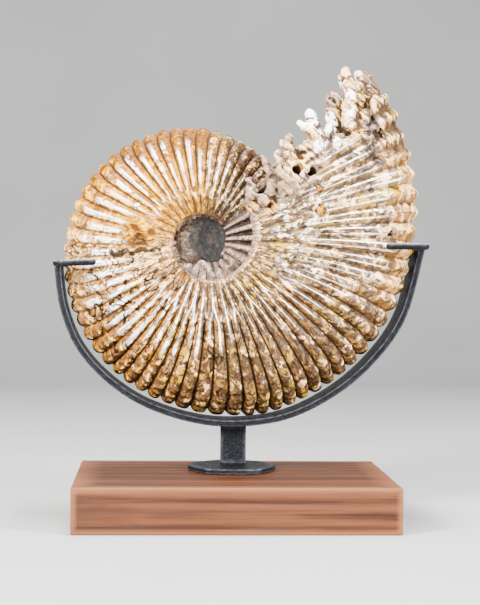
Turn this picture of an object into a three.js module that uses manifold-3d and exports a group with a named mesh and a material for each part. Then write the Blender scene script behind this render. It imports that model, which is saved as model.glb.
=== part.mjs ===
// A large fossil ammonite resting in a bent iron cradle on a wooden block.
// Millimetres, +Z up. The origin is the middle of the block's underside and the front faces -Y.
import * as THREE from 'three';
import Module from 'manifold-3d';
import { mergeVertices } from 'three/addons/utils/BufferGeometryUtils.js';

// Wooden block
const BASE = { width: 260, depth: 180, height: 37, chamfer: 1.5 };

// Gap left between pieces that touch
const GAP = 0.3;
// Edges shorter than this, left where joined pieces cross, are closed up
const SHORTEST_EDGE = 0.1;

// Hammered plate under the post
const PLATE = { centreX: 0.2, centreY: 22, radius: 37, thickness: 4.7, chamfer: 0.8 };
// The plate's cut edge: direction in degrees and distance from the centre as a share of its radius
const PLATE_EDGE = [
  [0, 1.02], [26, 0.97], [48, 1.0], [75, 0.95], [104, 1.0], [130, 0.95], [155, 1.02], [182, 1.02],
  [208, 0.95], [232, 1.03], [258, 0.97], [285, 1.0], [310, 1.02], [337, 0.95],
];

// Flat bar that carries the cradle
const POST = { centreX: 1.6, centreY: 27, width: 22, depth: 6, top: 75 };

// Flat bar of the cradle, bent by hand: direction and distance of its outer face from this centre
const STRAP = { centreX: 5.6, centreZ: 231, centreY: 27, width: 42, thickness: 5.5, steps: 44 };
const STRAP_BEND = [
  [188.68, 157.5], [201, 161.2], [214, 164], [228, 162.6], [243, 159.7], [262, 156.6],
  [282, 154.8], [300, 152.7], [318, 152.3], [336, 153.7], [357.6, 156],
];

// Round bars across the ends of the strap, one prong in front of the shell and one behind it
const FORK = { radius: 3, bend: 7, sides: 8, bendSteps: 3, tipLength: 6 };
const FORK_LEFT = { x: -147.2, z: 211.1, rise: 1.4, reach: 28, inward: 1, halfSpan: 44.4 };
const FORK_RIGHT = { x: 157.4, z: 227.8, rise: 0, reach: -29, inward: -1, halfSpan: 53.8 };

// Coil of the shell: a logarithmic spiral round an axis along Y, angles in degrees from +X to +Z
const COIL = { x: -24.7, y: 27, z: 231.6, radius: 124.4, radiusAt: 200, growth: 0.1361 };
// The shell swells a little where it rests, low on the right
const SWELL = { angle: 290, height: 2.2, width: 13 };

// Ribs: rib number and its angle, straight between these. The inner turn has half as many.
const RIB_MARKS = [
  [-31, -317.7], [-5, 42.3], [0, 76.8], [6, 118.3], [16, 183.5], [24, 231.3],
  [30, 262.6], [33, 280.4], [43, 326.1], [47, 347.2], [58, 404.2],
];
const FIRST_RIB = -31;
const SHARED_RIB = -5;
const LAST_RIB = 58;

// Half of the whorl's section, from the middle of the venter to the seam, all as shares of the
// spiral's radius: distance from the axis, distance from the mid-plane, depth of the valley
// between ribs, and how far the rib's crest lies under its knobs
const SECTION = [
  [1.0, 0.0, 0.036, 0.01],
  [0.993, 0.075, 0.04, 0.0],
  [0.963, 0.14, 0.036, 0.012],
  [0.93, 0.195, 0.038, 0.0],
  [0.878, 0.238, 0.034, 0.01],
  [0.82, 0.272, 0.03, 0.0],
  [0.71, 0.311, 0.024, 0.004],
  [0.57, 0.33, 0.02, 0.0],
  [0.43, 0.318, 0.018, 0.0],
  [0.31, 0.284, 0.014, 0.0],
  [0.238, 0.236, 0.005, 0.0],
  [0.208, 0.08, 0.0, 0.0],
];
// Nearer the axis than this share of the radius the ribs lean towards the mouth, by up to so much
const LEAN = { from: 0.5, to: 0.24, degrees: 6 };

// How far the torn end reaches past the last rib, in degrees, round the section
const TORN_EDGE = [2, -3.5, 1, -4, 2.5, -5, 1.5, -2, -5, 1, -2];
// The wall across the torn end bulges towards the mouth
const END_WALL = { along: 2, distance: 0.62 };

// Frilled fingers on the torn end: distance from the axis and from the mid-plane as shares of the
// radius, angle of the tip, thickness at the foot and at the tip
const FINGERS = [
  { distance: 0.4, side: -0.2, tip: 416.6, foot: 5, end: 2.2 },
  { distance: 0.455, side: -0.23, tip: 412.6, foot: 6, end: 3 },
  { distance: 0.53, side: -0.25, tip: 411.5, foot: 6, end: 4.2 },
  { distance: 0.6, side: -0.27, tip: 411, foot: 6, end: 2.6 },
  { distance: 0.655, side: -0.27, tip: 411.8, foot: 8, end: 3.4 },
  { distance: 0.75, side: -0.13, tip: 406.5, foot: 8, end: 4 },
  { distance: 0.815, side: 0.05, tip: 410.2, foot: 8, end: 5 },
  { distance: 0.84, side: -0.2, tip: 411.4, foot: 7, end: 2.4 },
  { distance: 0.882, side: -0.17, tip: 411.1, foot: 7, end: 2.6 },
  { distance: 0.955, side: -0.02, tip: 407.4, foot: 9, end: 6 },
  { distance: 0.955, side: 0.09, tip: 408.6, foot: 8, end: 4 },
  { distance: 0.87, side: 0.19, tip: 410.4, foot: 8, end: 3.4 },
  { distance: 0.74, side: 0.26, tip: 409.4, foot: 7, end: 3.6 },
  { distance: 0.62, side: 0.28, tip: 411.2, foot: 7, end: 3 },
  { distance: 0.5, side: 0.25, tip: 410.4, foot: 6, end: 3 },
  { distance: 0.405, side: 0.2, tip: 413.5, foot: 5, end: 2.6 },
];
const FINGER_FOOT_ANGLE = 398;
const FINGER_SIDES = 6;
const FINGER_STEPS = 3;

// Rock left in the umbilicus: centre measured from the coil's axis, and half sizes
const MATRIX_LUMPS = [
  { x: 4, y: 0, z: 0, radiusX: 26, radiusY: 15, radiusZ: 26 },
  { x: -15, y: -4, z: -3, radiusX: 17, radiusY: 17, radiusZ: 18 },
  { x: -6, y: 5, z: 2, radiusX: 24, radiusY: 13, radiusZ: 22 },
];

// Angles of each wall of a round lump
const LUMP_SEGMENTS = { around: 12, over: 8 };

const wasm = await Module();
wasm.setup();

const radians = THREE.MathUtils.degToRad;

function solidFrom(geometry) {
  const bare = geometry.clone();
  bare.deleteAttribute('normal');
  bare.deleteAttribute('uv');
  const merged = mergeVertices(bare);
  return new wasm.Manifold(new wasm.Mesh({
    numProp: 3,
    vertProperties: new Float32Array(merged.attributes.position.array),
    triVerts: new Uint32Array(merged.index.array),
  }));
}

function geometryFrom(solid) {
  const mesh = solid.asOriginal().simplify(SHORTEST_EDGE).getMesh();
  const geometry = new THREE.BufferGeometry();
  geometry.setAttribute('position', new THREE.BufferAttribute(mesh.vertProperties, 3));
  geometry.setIndex(new THREE.BufferAttribute(mesh.triVerts, 1));
  geometry.computeVertexNormals();
  return geometry;
}

// Six times the volume inside a closed skin, negative where its faces point inward
function sixfoldVolume(points, faces) {
  const normal = new THREE.Vector3();
  let sum = 0;
  for (let i = 0; i < faces.length; i += 3) {
    const [a, b, c] = [faces[i], faces[i + 1], faces[i + 2]].map((corner) => points[corner]);
    sum += a.dot(normal.crossVectors(b, c));
  }
  return sum;
}

// Closed skin over a row of rings with equal counts of points, with a fan over each end
function skinOver(rings, startCentre, endCentre) {
  const count = rings[0].length;
  const points = rings.flat().concat([startCentre, endCentre]);
  const start = points.length - 2;
  const end = points.length - 1;
  const last = (rings.length - 1) * count;
  const faces = [];
  for (let i = 0; i < count; i += 1) {
    const next = (i + 1) % count;
    for (let row = 0; row < last; row += count) {
      faces.push(row + i, row + next, row + count + next);
      faces.push(row + i, row + count + next, row + count + i);
    }
    faces.push(start, next, i);
    faces.push(end, last + i, last + next);
  }
  if (sixfoldVolume(points, faces) < 0) {
    faces.reverse();
  }
  const geometry = new THREE.BufferGeometry().setFromPoints(points);
  geometry.setIndex(faces);
  return geometry;
}

function ribAngle(rib) {
  const marks = RIB_MARKS;
  let i = 1;
  while (i < marks.length - 1 && rib > marks[i][0]) {
    i += 1;
  }
  const [fromRib, fromAngle] = marks[i - 1];
  const [toRib, toAngle] = marks[i];
  return THREE.MathUtils.mapLinear(rib, fromRib, toRib, fromAngle, toAngle);
}

function coilRadius(angle) {
  const spiral = COIL.radius * Math.exp(COIL.growth * radians(angle - COIL.radiusAt));
  const away = (angle - SWELL.angle) / SWELL.width;
  return spiral + SWELL.height * Math.exp(-away * away);
}

// Point of the coil at an angle, a distance from the axis and one from the mid-plane
function coilPoint(angle, distance, side) {
  const turn = radians(angle);
  return new THREE.Vector3(
    COIL.x + distance * Math.cos(turn),
    COIL.y + side,
    COIL.z + distance * Math.sin(turn),
  );
}

// The section's points all the way round with their outward directions, front side first
function wholeSection() {
  const half = SECTION.map(([distance, side, valley, dip]) => ({ distance, side, valley, dip }));
  const front = half.map((point) => ({ ...point, side: -point.side }));
  const back = half.slice(1).reverse();
  const points = front.concat(back);
  return points.map((point, i) => {
    const before = points[(i + points.length - 1) % points.length];
    const after = points[(i + 1) % points.length];
    const along = new THREE.Vector2(after.distance - before.distance, after.side - before.side);
    along.normalize();
    return { ...point, outDistance: -along.y, outSide: along.x };
  });
}

const WHOLE_SECTION = wholeSection();

function leanAt(distance) {
  const share = (LEAN.from - distance) / (LEAN.from - LEAN.to);
  return LEAN.degrees * THREE.MathUtils.clamp(share, 0, 1);
}

// Ring of the whorl at a rib's crest, or half a rib further on in the valley beyond it
function whorlRing(rib, pushed) {
  const angle = ribAngle(rib);
  const isCrest = Number.isInteger(rib);
  return WHOLE_SECTION.map((point, i) => {
    const cut = isCrest ? point.dip : point.valley;
    const here = angle + leanAt(point.distance) + pushed(i);
    const radius = coilRadius(here);
    const distance = radius * (point.distance - cut * point.outDistance);
    const side = radius * (point.side - cut * point.outSide);
    return coilPoint(here, distance, side);
  });
}

function middleOf(angle) {
  return coilPoint(angle, coilRadius(angle) * END_WALL.distance, 0);
}

function whorl(fromRib, toRib, endPush, endAngle) {
  const rings = [];
  for (let rib = fromRib; rib <= toRib; rib += 0.5) {
    const isEnd = rib === toRib;
    rings.push(whorlRing(rib, isEnd ? endPush : () => 0));
  }
  return skinOver(rings, middleOf(ribAngle(fromRib)), middleOf(endAngle));
}

function tornEdge(i) {
  return TORN_EDGE[i % TORN_EDGE.length];
}

// Tapered round finger that follows the coil from inside the end wall to its rounded tip
function finger({ distance, side, tip, foot, end }) {
  const rings = [];
  for (let step = 0; step <= FINGER_STEPS; step += 1) {
    const share = step / FINGER_STEPS;
    const angle = THREE.MathUtils.lerp(FINGER_FOOT_ANGLE, tip, share);
    const radius = coilRadius(angle);
    const thickness = THREE.MathUtils.lerp(foot, end, share);
    const ring = [];
    for (let corner = 0; corner < FINGER_SIDES; corner += 1) {
      const turn = (corner / FINGER_SIDES) * 2 * Math.PI;
      const outward = radius * distance + thickness * Math.cos(turn);
      const sideways = radius * side + thickness * Math.sin(turn);
      ring.push(coilPoint(angle, outward, sideways));
    }
    rings.push(ring.reverse());
  }
  const tipRound = THREE.MathUtils.radToDeg(end / (coilRadius(tip) * distance));
  const footPoint = coilPoint(FINGER_FOOT_ANGLE, coilRadius(FINGER_FOOT_ANGLE) * distance,
    coilRadius(FINGER_FOOT_ANGLE) * side);
  const tipRadius = coilRadius(tip);
  const tipPoint = coilPoint(tip + tipRound * 0.6, tipRadius * distance, tipRadius * side);
  return skinOver(rings, footPoint, tipPoint);
}

function matrixLump({ x, y, z, radiusX, radiusY, radiusZ }) {
  const lump = new THREE.SphereGeometry(1, LUMP_SEGMENTS.around, LUMP_SEGMENTS.over);
  lump.scale(radiusX, radiusZ, radiusY);
  lump.rotateX(Math.PI / 2);
  lump.translate(COIL.x + x, COIL.y + y, COIL.z + z);
  return lump;
}

function makeAmmonite() {
  const endAngle = ribAngle(LAST_RIB);
  const sharedAngle = ribAngle(SHARED_RIB);
  const lastTurn = whorl(SHARED_RIB, LAST_RIB, tornEdge, endAngle + END_WALL.along);
  const innerTurn = whorl(FIRST_RIB, SHARED_RIB, () => 0, sharedAngle);
  let solid = solidFrom(lastTurn).add(solidFrom(innerTurn));
  for (const lump of MATRIX_LUMPS) {
    solid = solid.add(solidFrom(matrixLump(lump)));
  }
  for (const one of FINGERS) {
    solid = solid.add(solidFrom(finger(one)));
  }
  return geometryFrom(solid);
}

// Smooth curve of the strap's outer face at a depth below it
function strapCurve(depth) {
  const points = STRAP_BEND.map(([direction, distance]) => {
    const turn = radians(direction);
    return new THREE.Vector2(
      STRAP.centreX + (distance - depth) * Math.cos(turn),
      STRAP.centreZ + (distance - depth) * Math.sin(turn),
    );
  });
  return new THREE.SplineCurve(points).getPoints(STRAP.steps);
}

function makeStrap() {
  const outline = new THREE.Shape(strapCurve(0).concat(strapCurve(STRAP.thickness).reverse()));
  const strap = new THREE.ExtrudeGeometry(outline, {
    depth: STRAP.width,
    bevelEnabled: false,
  });
  strap.rotateX(Math.PI / 2);
  strap.translate(0, STRAP.centreY + STRAP.width / 2, 0);
  return strap;
}

// Round bend of the bar's centre line from one direction to another, in plan
function bendPoints(corner, before, after) {
  const points = [];
  const start = corner.clone().addScaledVector(before, -FORK.bend);
  const finish = corner.clone().addScaledVector(after, FORK.bend);
  const bend = new THREE.QuadraticBezierCurve3(start, corner, finish);
  for (let step = 0; step <= FORK.bendSteps; step += 1) {
    points.push(bend.getPoint(step / FORK.bendSteps));
  }
  return points;
}

// Centre line of one prong from the middle of the cross bar to its tip, front or back
function prongLine({ x, z, rise, reach, inward, halfSpan }, facing) {
  const across = new THREE.Vector3(0, facing, 0);
  const along = new THREE.Vector3(reach, 0, rise).normalize();
  const corner = new THREE.Vector3(x, STRAP.centreY + facing * halfSpan, z);
  const tipCorner = corner.clone().add(new THREE.Vector3(reach, 0, rise));
  const tip = tipCorner.clone();
  tip.x += inward * FORK.tipLength * 0.7;
  tip.y -= facing * FORK.tipLength * 0.7;
  return bendPoints(corner, across, along).concat([tipCorner, tip]);
}

// Round bar along a line of points that lies nearly flat
function roundBar(line) {
  const up = new THREE.Vector3(0, 0, 1);
  const rings = line.map((point, i) => {
    const before = line[Math.max(i - 1, 0)];
    const after = line[Math.min(i + 1, line.length - 1)];
    const ahead = after.clone().sub(before).normalize();
    const left = new THREE.Vector3().crossVectors(up, ahead).normalize();
    const top = new THREE.Vector3().crossVectors(ahead, left);
    const ring = [];
    for (let side = 0; side < FORK.sides; side += 1) {
      const turn = ((side + 0.5) / FORK.sides) * 2 * Math.PI;
      ring.push(point.clone()
        .addScaledVector(left, FORK.radius * Math.cos(turn))
        .addScaledVector(top, FORK.radius * Math.sin(turn)));
    }
    return ring;
  });
  return skinOver(rings, line[0].clone(), line[line.length - 1].clone());
}

function makeFork(fork) {
  const front = prongLine(fork, -1).reverse();
  const back = prongLine(fork, 1);
  return roundBar(front.concat(back));
}

function makePost() {
  const bottom = BASE.height + GAP + PLATE.thickness + GAP;
  const post = new THREE.BoxGeometry(POST.width, POST.depth, POST.top - bottom);
  post.translate(POST.centreX, POST.centreY, (POST.top + bottom) / 2);
  return post;
}

function makeFootPlate() {
  const corners = PLATE_EDGE.map(([direction, share]) => {
    const reach = PLATE.radius * share - PLATE.chamfer;
    return new THREE.Vector2(
      PLATE.centreX + reach * Math.cos(radians(direction)),
      PLATE.centreY + reach * Math.sin(radians(direction)),
    );
  });
  const plate = new THREE.ExtrudeGeometry(new THREE.Shape(corners), {
    depth: PLATE.thickness - 2 * PLATE.chamfer,
    bevelSize: PLATE.chamfer,
    bevelThickness: PLATE.chamfer,
    bevelSegments: 1,
  });
  plate.translate(0, 0, BASE.height + GAP + PLATE.chamfer);
  return plate;
}

function makeBase() {
  const halfWidth = BASE.width / 2 - BASE.chamfer;
  const halfDepth = BASE.depth / 2 - BASE.chamfer;
  const outline = new THREE.Shape([
    new THREE.Vector2(-halfWidth, -halfDepth),
    new THREE.Vector2(halfWidth, -halfDepth),
    new THREE.Vector2(halfWidth, halfDepth),
    new THREE.Vector2(-halfWidth, halfDepth),
  ]);
  const block = new THREE.ExtrudeGeometry(outline, {
    depth: BASE.height - 2 * BASE.chamfer,
    bevelSize: BASE.chamfer,
    bevelThickness: BASE.chamfer,
    bevelSegments: 1,
  });
  block.translate(0, 0, BASE.chamfer);
  return block;
}

// Materials
const FOSSIL = new THREE.MeshStandardMaterial({ color: 0xd9b98a, roughness: 0.4, metalness: 0 });
const WOOD = new THREE.MeshStandardMaterial({ color: 0x9a6544, roughness: 0.6, metalness: 0 });
function iron() {
  return new THREE.MeshStandardMaterial({ color: 0x24252b, roughness: 0.5, metalness: 0.6 });
}

const part = new THREE.Group();

function addPiece(name, geometry, material) {
  const mesh = new THREE.Mesh(geometry, material);
  mesh.name = name;
  part.add(mesh);
}

addPiece('wood_base', makeBase(), WOOD);
addPiece('foot_plate', makeFootPlate(), iron());
addPiece('post', makePost(), iron());
addPiece('cradle_strap', makeStrap(), iron());
addPiece('fork_left', makeFork(FORK_LEFT), iron());
addPiece('fork_right', makeFork(FORK_RIGHT), iron());
addPiece('ammonite', makeAmmonite(), FOSSIL);

export default part;
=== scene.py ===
import math
from itertools import product
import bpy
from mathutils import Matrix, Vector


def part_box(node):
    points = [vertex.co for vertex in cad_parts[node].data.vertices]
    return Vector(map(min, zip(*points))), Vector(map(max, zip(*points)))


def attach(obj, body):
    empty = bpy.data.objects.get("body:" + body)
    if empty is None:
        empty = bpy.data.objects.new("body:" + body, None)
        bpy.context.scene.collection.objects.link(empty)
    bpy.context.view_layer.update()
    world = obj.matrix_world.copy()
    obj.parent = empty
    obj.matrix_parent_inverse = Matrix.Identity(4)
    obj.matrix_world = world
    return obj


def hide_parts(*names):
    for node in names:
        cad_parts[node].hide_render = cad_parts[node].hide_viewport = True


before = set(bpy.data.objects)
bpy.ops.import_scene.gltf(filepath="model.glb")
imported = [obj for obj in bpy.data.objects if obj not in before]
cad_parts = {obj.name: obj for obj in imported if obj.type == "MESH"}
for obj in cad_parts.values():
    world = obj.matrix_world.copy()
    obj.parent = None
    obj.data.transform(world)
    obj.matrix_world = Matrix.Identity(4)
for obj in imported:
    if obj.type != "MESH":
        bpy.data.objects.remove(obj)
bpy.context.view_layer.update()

from types import SimpleNamespace

import bpy
import numpy as np
from mathutils import Matrix, Vector

# A large fossil ammonite resting in a bent iron cradle on a wooden block.
# Metres, +Z up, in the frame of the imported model: the front faces -Y.

MM = 0.001

# Coil of the shell: a logarithmic spiral round an axis along Y, angles in degrees from +X to +Z
COIL_AXIS = Vector((-24.7, 27.0, 231.6)) * MM
COIL_RADIUS = 124.4 * MM
COIL_RADIUS_AT = 200.0
COIL_GROWTH = 0.1361
SWELL_ANGLE = 290.0
SWELL_HEIGHT = 2.2 * MM
SWELL_WIDTH = 13.0

# Rib numbers and their angles, straight between these
RIB_MARKS = np.array([
    (-31, -317.7), (-5, 42.3), (0, 76.8), (6, 118.3), (16, 183.5), (24, 231.3),
    (30, 262.6), (33, 280.4), (43, 326.1), (47, 347.2), (58, 404.2), (62, 425.0),
], float)
FIRST_RIB = -31
START_RIB = -5.5
MIDDLE_RIB = 24.5
TORN_RIB = 51.0

# Half of the whorl's section, from the middle of the venter to the seam, as shares of the
# spiral's radius: distance from the axis, distance from the mid-plane, depth of the valleys
SECTION = np.array([
    (1.0, 0.0, 0.028), (0.993, 0.075, 0.03), (0.963, 0.14, 0.03), (0.93, 0.195, 0.034),
    (0.878, 0.238, 0.034), (0.82, 0.272, 0.03), (0.71, 0.311, 0.024), (0.57, 0.33, 0.02),
    (0.43, 0.318, 0.018), (0.31, 0.285, 0.012), (0.255, 0.256, 0.002), (0.222, 0.205, 0.0),
    (0.21, 0.08, 0.0),
])


# How the shell changes along the coil: angles in degrees, and the values there
ZONE_ANGLES = (42, 70, 95, 135, 165, 190, 215, 240, 265, 290, 320, 345, 375, 404)
ZONES = {
    "lean_step": (.9, .9, 1.2, 1.2, .9, .8, .8, .0, .3, 1.2, 1.2, -.3, .4, .4),
    "lean_slope": (4, 4, 4.5, 4.5, 6, 7.5, 7.5, 7.5, 7.5, 7.5, 7.5, 5, 2, 2),
    "knob_reach": (.30, .30, .30, .30, .34, .42, .50, .44, .30, .26, .34, .36, .30, .30),
    "knob_height": (11, 12, 14, 14, 13, 12, 13, 12, 9, 7, 9, 11, 10, 10),
    "valley_gain": (1.0, 1.0, 1.0, 1.0, 1.0, 0.9, 1.0, 1.1, 1.1, 1.1, 1.1, 1.0, 0.9, 0.9),
    "flank_gain": (1.2, 1.2, 1.2, 1.1, 0.9, 0.8, 1.0, 1.1, 1.2, 1.2, 1.1, 0.9, 0.75, 1.1),
    "power": (1.8, 1.8, 2.0, 2.0, 2.0, 2.0, 2.2, 2.6, 3.2, 3.6, 3.0, 1.6, 0.9, 0.9),
    "warm": (.1, .25, .9, 1.0, .95, .60, .82, .78, .42, .20, .25, .20, .15, .20),
    "rose": (.6, .5, .0, .0, .1, .4, .3, .2, .25, .25, .3, .5, .55, .5),
    "speck": (.84, .74, .34, .22, .15, .30, .56, .64, .74, .78, .70, .56, .52, .58),
    "lined": (.3, .1, .0, .0, .1, 1.0, .9, .75, .45, .35, .32, .30, .32, .35),
    "tone": (.55, .55, .60, .62, .38, .16, .42, .60, .72, .76, .70, .60, .56, .62),
    # The shine rows and steady: where, how strong and how wide the painted highlights along the crests
    # are, and how unbroken
    "shine": (.7, .8, 1.0, 1.0, 1.0, 1.0, 1.0, 1.0, .95, .95, .9, 1.0, 1.0, .9),
    "shine_inner": (.34, .32, .36, .38, .45, .50, .36, .29, .27, .27, .32, .44, .48, .45),
    "shine_outer": (.70, .70, .84, .85, .86, .92, .82, .74, .60, .52, .62, .80, .86, .80),
    "shine_ahead": (.2, .25, .30, .30, .28, .25, .20, .10, .05, .05, .10, .40, .46, .44),
    "shine_behind": (3, 3, 3, 3, 3, 3, 3, 3, 3, 3, 2, .40, .38, .34),
    "shine_width": (.16, .17, .26, .30, .34, .42, .42, .37, .29, .22, .15, .10, .095, .12),
    "steady": (.3, .2, .0, .0, .0, .0, .0, .1, .2, .3, .5, 1.0, 1.0, .9),
    # How much painted shade falls in the valleys
    "gully": (1.0, 1.0, 1.0, 1.0, .85, .65, .8, 1.0, 1.0, 1.0, .9, .75, .60, .75),
}


def zone(name, angle):
    return np.interp(angle, ZONE_ANGLES, ZONES[name])


# Numbers and noise

def smooth_step(low, high, value):
    share = np.clip((value - low) / (high - low), 0.0, 1.0)
    return share * share * (3.0 - 2.0 * share)


def bell(value, centre, width):
    """One at the centre, fading to nothing a few widths away."""
    away = (value - centre) / width
    return np.exp(-away * away)


LATTICE = 32


def noise(points, size, seed):
    """Smooth noise from -1 to 1 at each point, with lumps about the given size."""
    table = np.random.default_rng(seed).uniform(-1, 1, (LATTICE,) * 3).astype(np.float32)
    spot = np.asarray(points, np.float32) / size
    cell = np.floor(spot).astype(np.int32)
    share = spot - cell
    share = share * share * (3.0 - 2.0 * share)
    total = np.zeros(spot.shape[:-1], np.float32)
    for corner in product((0, 1), repeat=3):
        weight = np.ones_like(total)
        index = []
        for axis in range(3):
            part = share[..., axis]
            weight = weight * (part if corner[axis] else 1.0 - part)
            index.append((cell[..., axis] + corner[axis]) % LATTICE)
        total += weight * table[tuple(index)]
    return total


def layered_noise(points, size, seed, layers=3):
    total = 0.0
    for layer in range(layers):
        total = total + noise(points, size / 2 ** layer, seed + layer) / 2 ** layer
    return total / (2.0 - 0.5 ** (layers - 1))


# Meshes

def make_piece(name, points, faces, masks=None):
    """Smooth mesh object from arrays of points and of faces with 3 or 4 corners each."""
    points = np.ascontiguousarray(points, np.float32).reshape(-1, 3)
    sizes = np.concatenate([np.full(len(f), f.shape[1]) for f in faces])
    corners = np.concatenate([np.ravel(f) for f in faces]).astype(np.int32)
    mesh = bpy.data.meshes.new(name)
    mesh.vertices.add(len(points))
    mesh.vertices.foreach_set("co", points.ravel())
    mesh.loops.add(len(corners))
    mesh.loops.foreach_set("vertex_index", corners)
    mesh.polygons.add(len(sizes))
    starts = np.concatenate([[0], np.cumsum(sizes)[:-1]]).astype(np.int32)
    mesh.polygons.foreach_set("loop_start", starts)
    mesh.update(calc_edges=True)
    mesh.validate()
    mesh.shade_smooth()
    for mask, values in (masks or {}).items():
        attribute = mesh.attributes.new(mask, "FLOAT", "POINT")
        attribute.data.foreach_set("value", np.ascontiguousarray(values, np.float32).ravel())
    piece = bpy.data.objects.new(name, mesh)
    bpy.context.scene.collection.objects.link(piece)
    return piece


def skin(rings):
    """Points and faces of a closed skin over rings of equal count, with a fan over each end."""
    count, around = rings.shape[:2]
    points = rings.reshape(-1, 3)
    index = np.arange(count * around).reshape(count, around)
    after = np.roll(index, -1, axis=1)
    quads = np.stack([index[:-1], after[:-1], after[1:], index[1:]], -1).reshape(-1, 4)
    first = len(points)
    points = np.concatenate([points, [rings[0].mean(0)], [rings[-1].mean(0)]])
    start_fan = np.stack([np.full(around, first), after[0], index[0]], -1)
    end_fan = np.stack([np.full(around, first + 1), index[-1], after[-1]], -1)
    fans = np.concatenate([start_fan, end_fan])
    if signed_volume(points, quads) < 0:
        quads = quads[:, ::-1]
        fans = fans[:, ::-1]
    return points, [quads, fans]


def signed_volume(points, quads):
    a, b, c, d = (points[quads[:, i]] for i in range(4))
    return float(np.sum(a * np.cross(b, c)) + np.sum(a * np.cross(c, d)))


# Shape of the shell

def coil_radius(angle):
    spiral = COIL_RADIUS * np.exp(COIL_GROWTH * np.radians(angle - COIL_RADIUS_AT))
    return spiral + SWELL_HEIGHT * bell(angle, SWELL_ANGLE, SWELL_WIDTH)


def rib_angle(rib):
    return np.interp(rib, RIB_MARKS[:, 0], RIB_MARKS[:, 1])


def rib_number(angle):
    return np.interp(angle, RIB_MARKS[:, 1], RIB_MARKS[:, 0])


def lean(angle, distance):
    """Degrees by which a rib has turned towards the mouth at this distance from the axis."""
    step = zone("lean_step", angle) * smooth_step(1.0, 0.88, distance)
    return step + zone("lean_slope", angle) * (1.0 - distance)


def coil_point(angle, distance, side):
    turn = np.radians(angle)
    return np.stack([
        COIL_AXIS.x + distance * np.cos(turn),
        COIL_AXIS.y + side + np.zeros_like(turn),
        COIL_AXIS.z + distance * np.sin(turn),
    ], -1)


def smooth_curve(rows, steps):
    """Catmull-Rom curve through rows of numbers, with the given steps between each two."""
    padded = np.concatenate([rows[:1], rows, rows[-1:]])
    t = np.linspace(0, 1, steps, endpoint=False)[:, None]
    pieces = []
    for a, b, c, d in zip(padded, padded[1:], padded[2:], padded[3:]):
        cubic = t * (3 * (b - c) + d - a)
        square = t * (2 * a - 5 * b + 4 * c - d + cubic)
        pieces.append(b + 0.5 * t * (c - a + square))
    return np.concatenate(pieces + [rows[-1:]])


def unit(vectors):
    return vectors / np.linalg.norm(vectors, axis=-1, keepdims=True)


def travelled(path):
    """Length along a path at each of its points."""
    return np.concatenate([[0.0], np.cumsum(np.linalg.norm(np.diff(path, axis=0), axis=1))])


# Steps of the fine curve between two rows of the section
SECTION_STEPS = 24


def fine_section():
    """The half section as a smooth fine curve: arc length, distance and side."""
    rows = SECTION[:, :2]
    mirrored = rows[1] * (1, -1)
    curve = smooth_curve(np.concatenate([[mirrored], rows]), SECTION_STEPS)[SECTION_STEPS:]
    return travelled(curve), curve


SECTION_ARC, SECTION_CURVE = fine_section()
SECTION_LENGTH = SECTION_ARC[-1]
VALLEY_ARC = SECTION_ARC[::SECTION_STEPS]


def valley_depth(arc):
    return np.interp(arc, VALLEY_ARC, SECTION[:, 2])


def section_arcs(spacing):
    """Arc lengths of a ring's points on one half, closer where the knobs are."""
    arcs = [0.0]
    while arcs[-1] < SECTION_LENGTH:
        here = arcs[-1]
        factor = 1.0 + 1.2 * smooth_step(0.40, 0.50, here) - 0.8 * smooth_step(0.82, 0.90, here)
        arcs.append(here + spacing * factor)
    arcs = np.array(arcs)
    return arcs * SECTION_LENGTH / arcs[-1]


def whole_section(spacing):
    """Round the section, front side first: arc, distance, side and outward direction."""
    half = section_arcs(spacing)
    arc = np.concatenate([half[::-1], half[1:]])
    sign = np.where(np.arange(len(arc)) < len(half), -1.0, 1.0)
    distance = np.interp(arc, SECTION_ARC, SECTION_CURVE[:, 0])
    side = sign * np.interp(arc, SECTION_ARC, SECTION_CURVE[:, 1])
    outline = np.stack([distance, side], -1)
    outward = outline_normals(outline)
    if outward[len(half), 0] < 0:
        outward = -outward
    return arc, distance, side, outward


def outline_normals(outline):
    """Directions away from a closed outline that runs anticlockwise."""
    along = unit(np.roll(outline, -1, axis=0) - np.roll(outline, 1, axis=0))
    return np.stack([along[:, 1], -along[:, 0]], -1)


# The knobs along the section's arc, as shares of the spiral's radius
KNOB_SPACING = 0.0677
FIRST_KNOB = 0.040
# Two ribs reach the umbilicus for every three outside
INNER_RIBS = 2.0 / 3.0
RNG = np.random.default_rng(7)
RIB_WILL = RNG.uniform(-1, 1, (128, 4))

# Bare places on the front: coil angle and distance share of the middle, and half sizes
WORN = [((170.0, 0.47), (15.0, 0.14))]
SCOURED = [((341.0, 0.45), (12.0, 0.12)), ((374.0, 0.42), (17.0, 0.14))]
# A stepped line of painted shadow under a low ledge, which runs outwards between two ribs
STEP_ANGLE = 185.5

# Zones that the shell's material reads
SHADER_ZONES = (
    "warm", "rose", "speck", "lined", "tone", "steady",
    "shine_ahead", "shine_behind", "shine_width",
)


def will(rib, column):
    """A steady random number for each rib."""
    return RIB_WILL[np.round(rib).astype(int) % len(RIB_WILL), column]


def bare(places, angle, distance, sign):
    """One in bare places on the front of the shell, fading at their edges."""
    shares = []
    for (mid_angle, mid_distance), (half_angle, half_distance) in places:
        away = np.hypot((angle - mid_angle) / half_angle, (distance - mid_distance) / half_distance)
        shares.append(smooth_step(1.3, 0.7, away) * (sign < 0))
    return np.maximum.reduce(shares)


def rib_wave(rib):
    """From 0 on a rib's crest to 1 in the valleys beside it."""
    return np.abs(2.0 * (rib - np.round(rib)))


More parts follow.
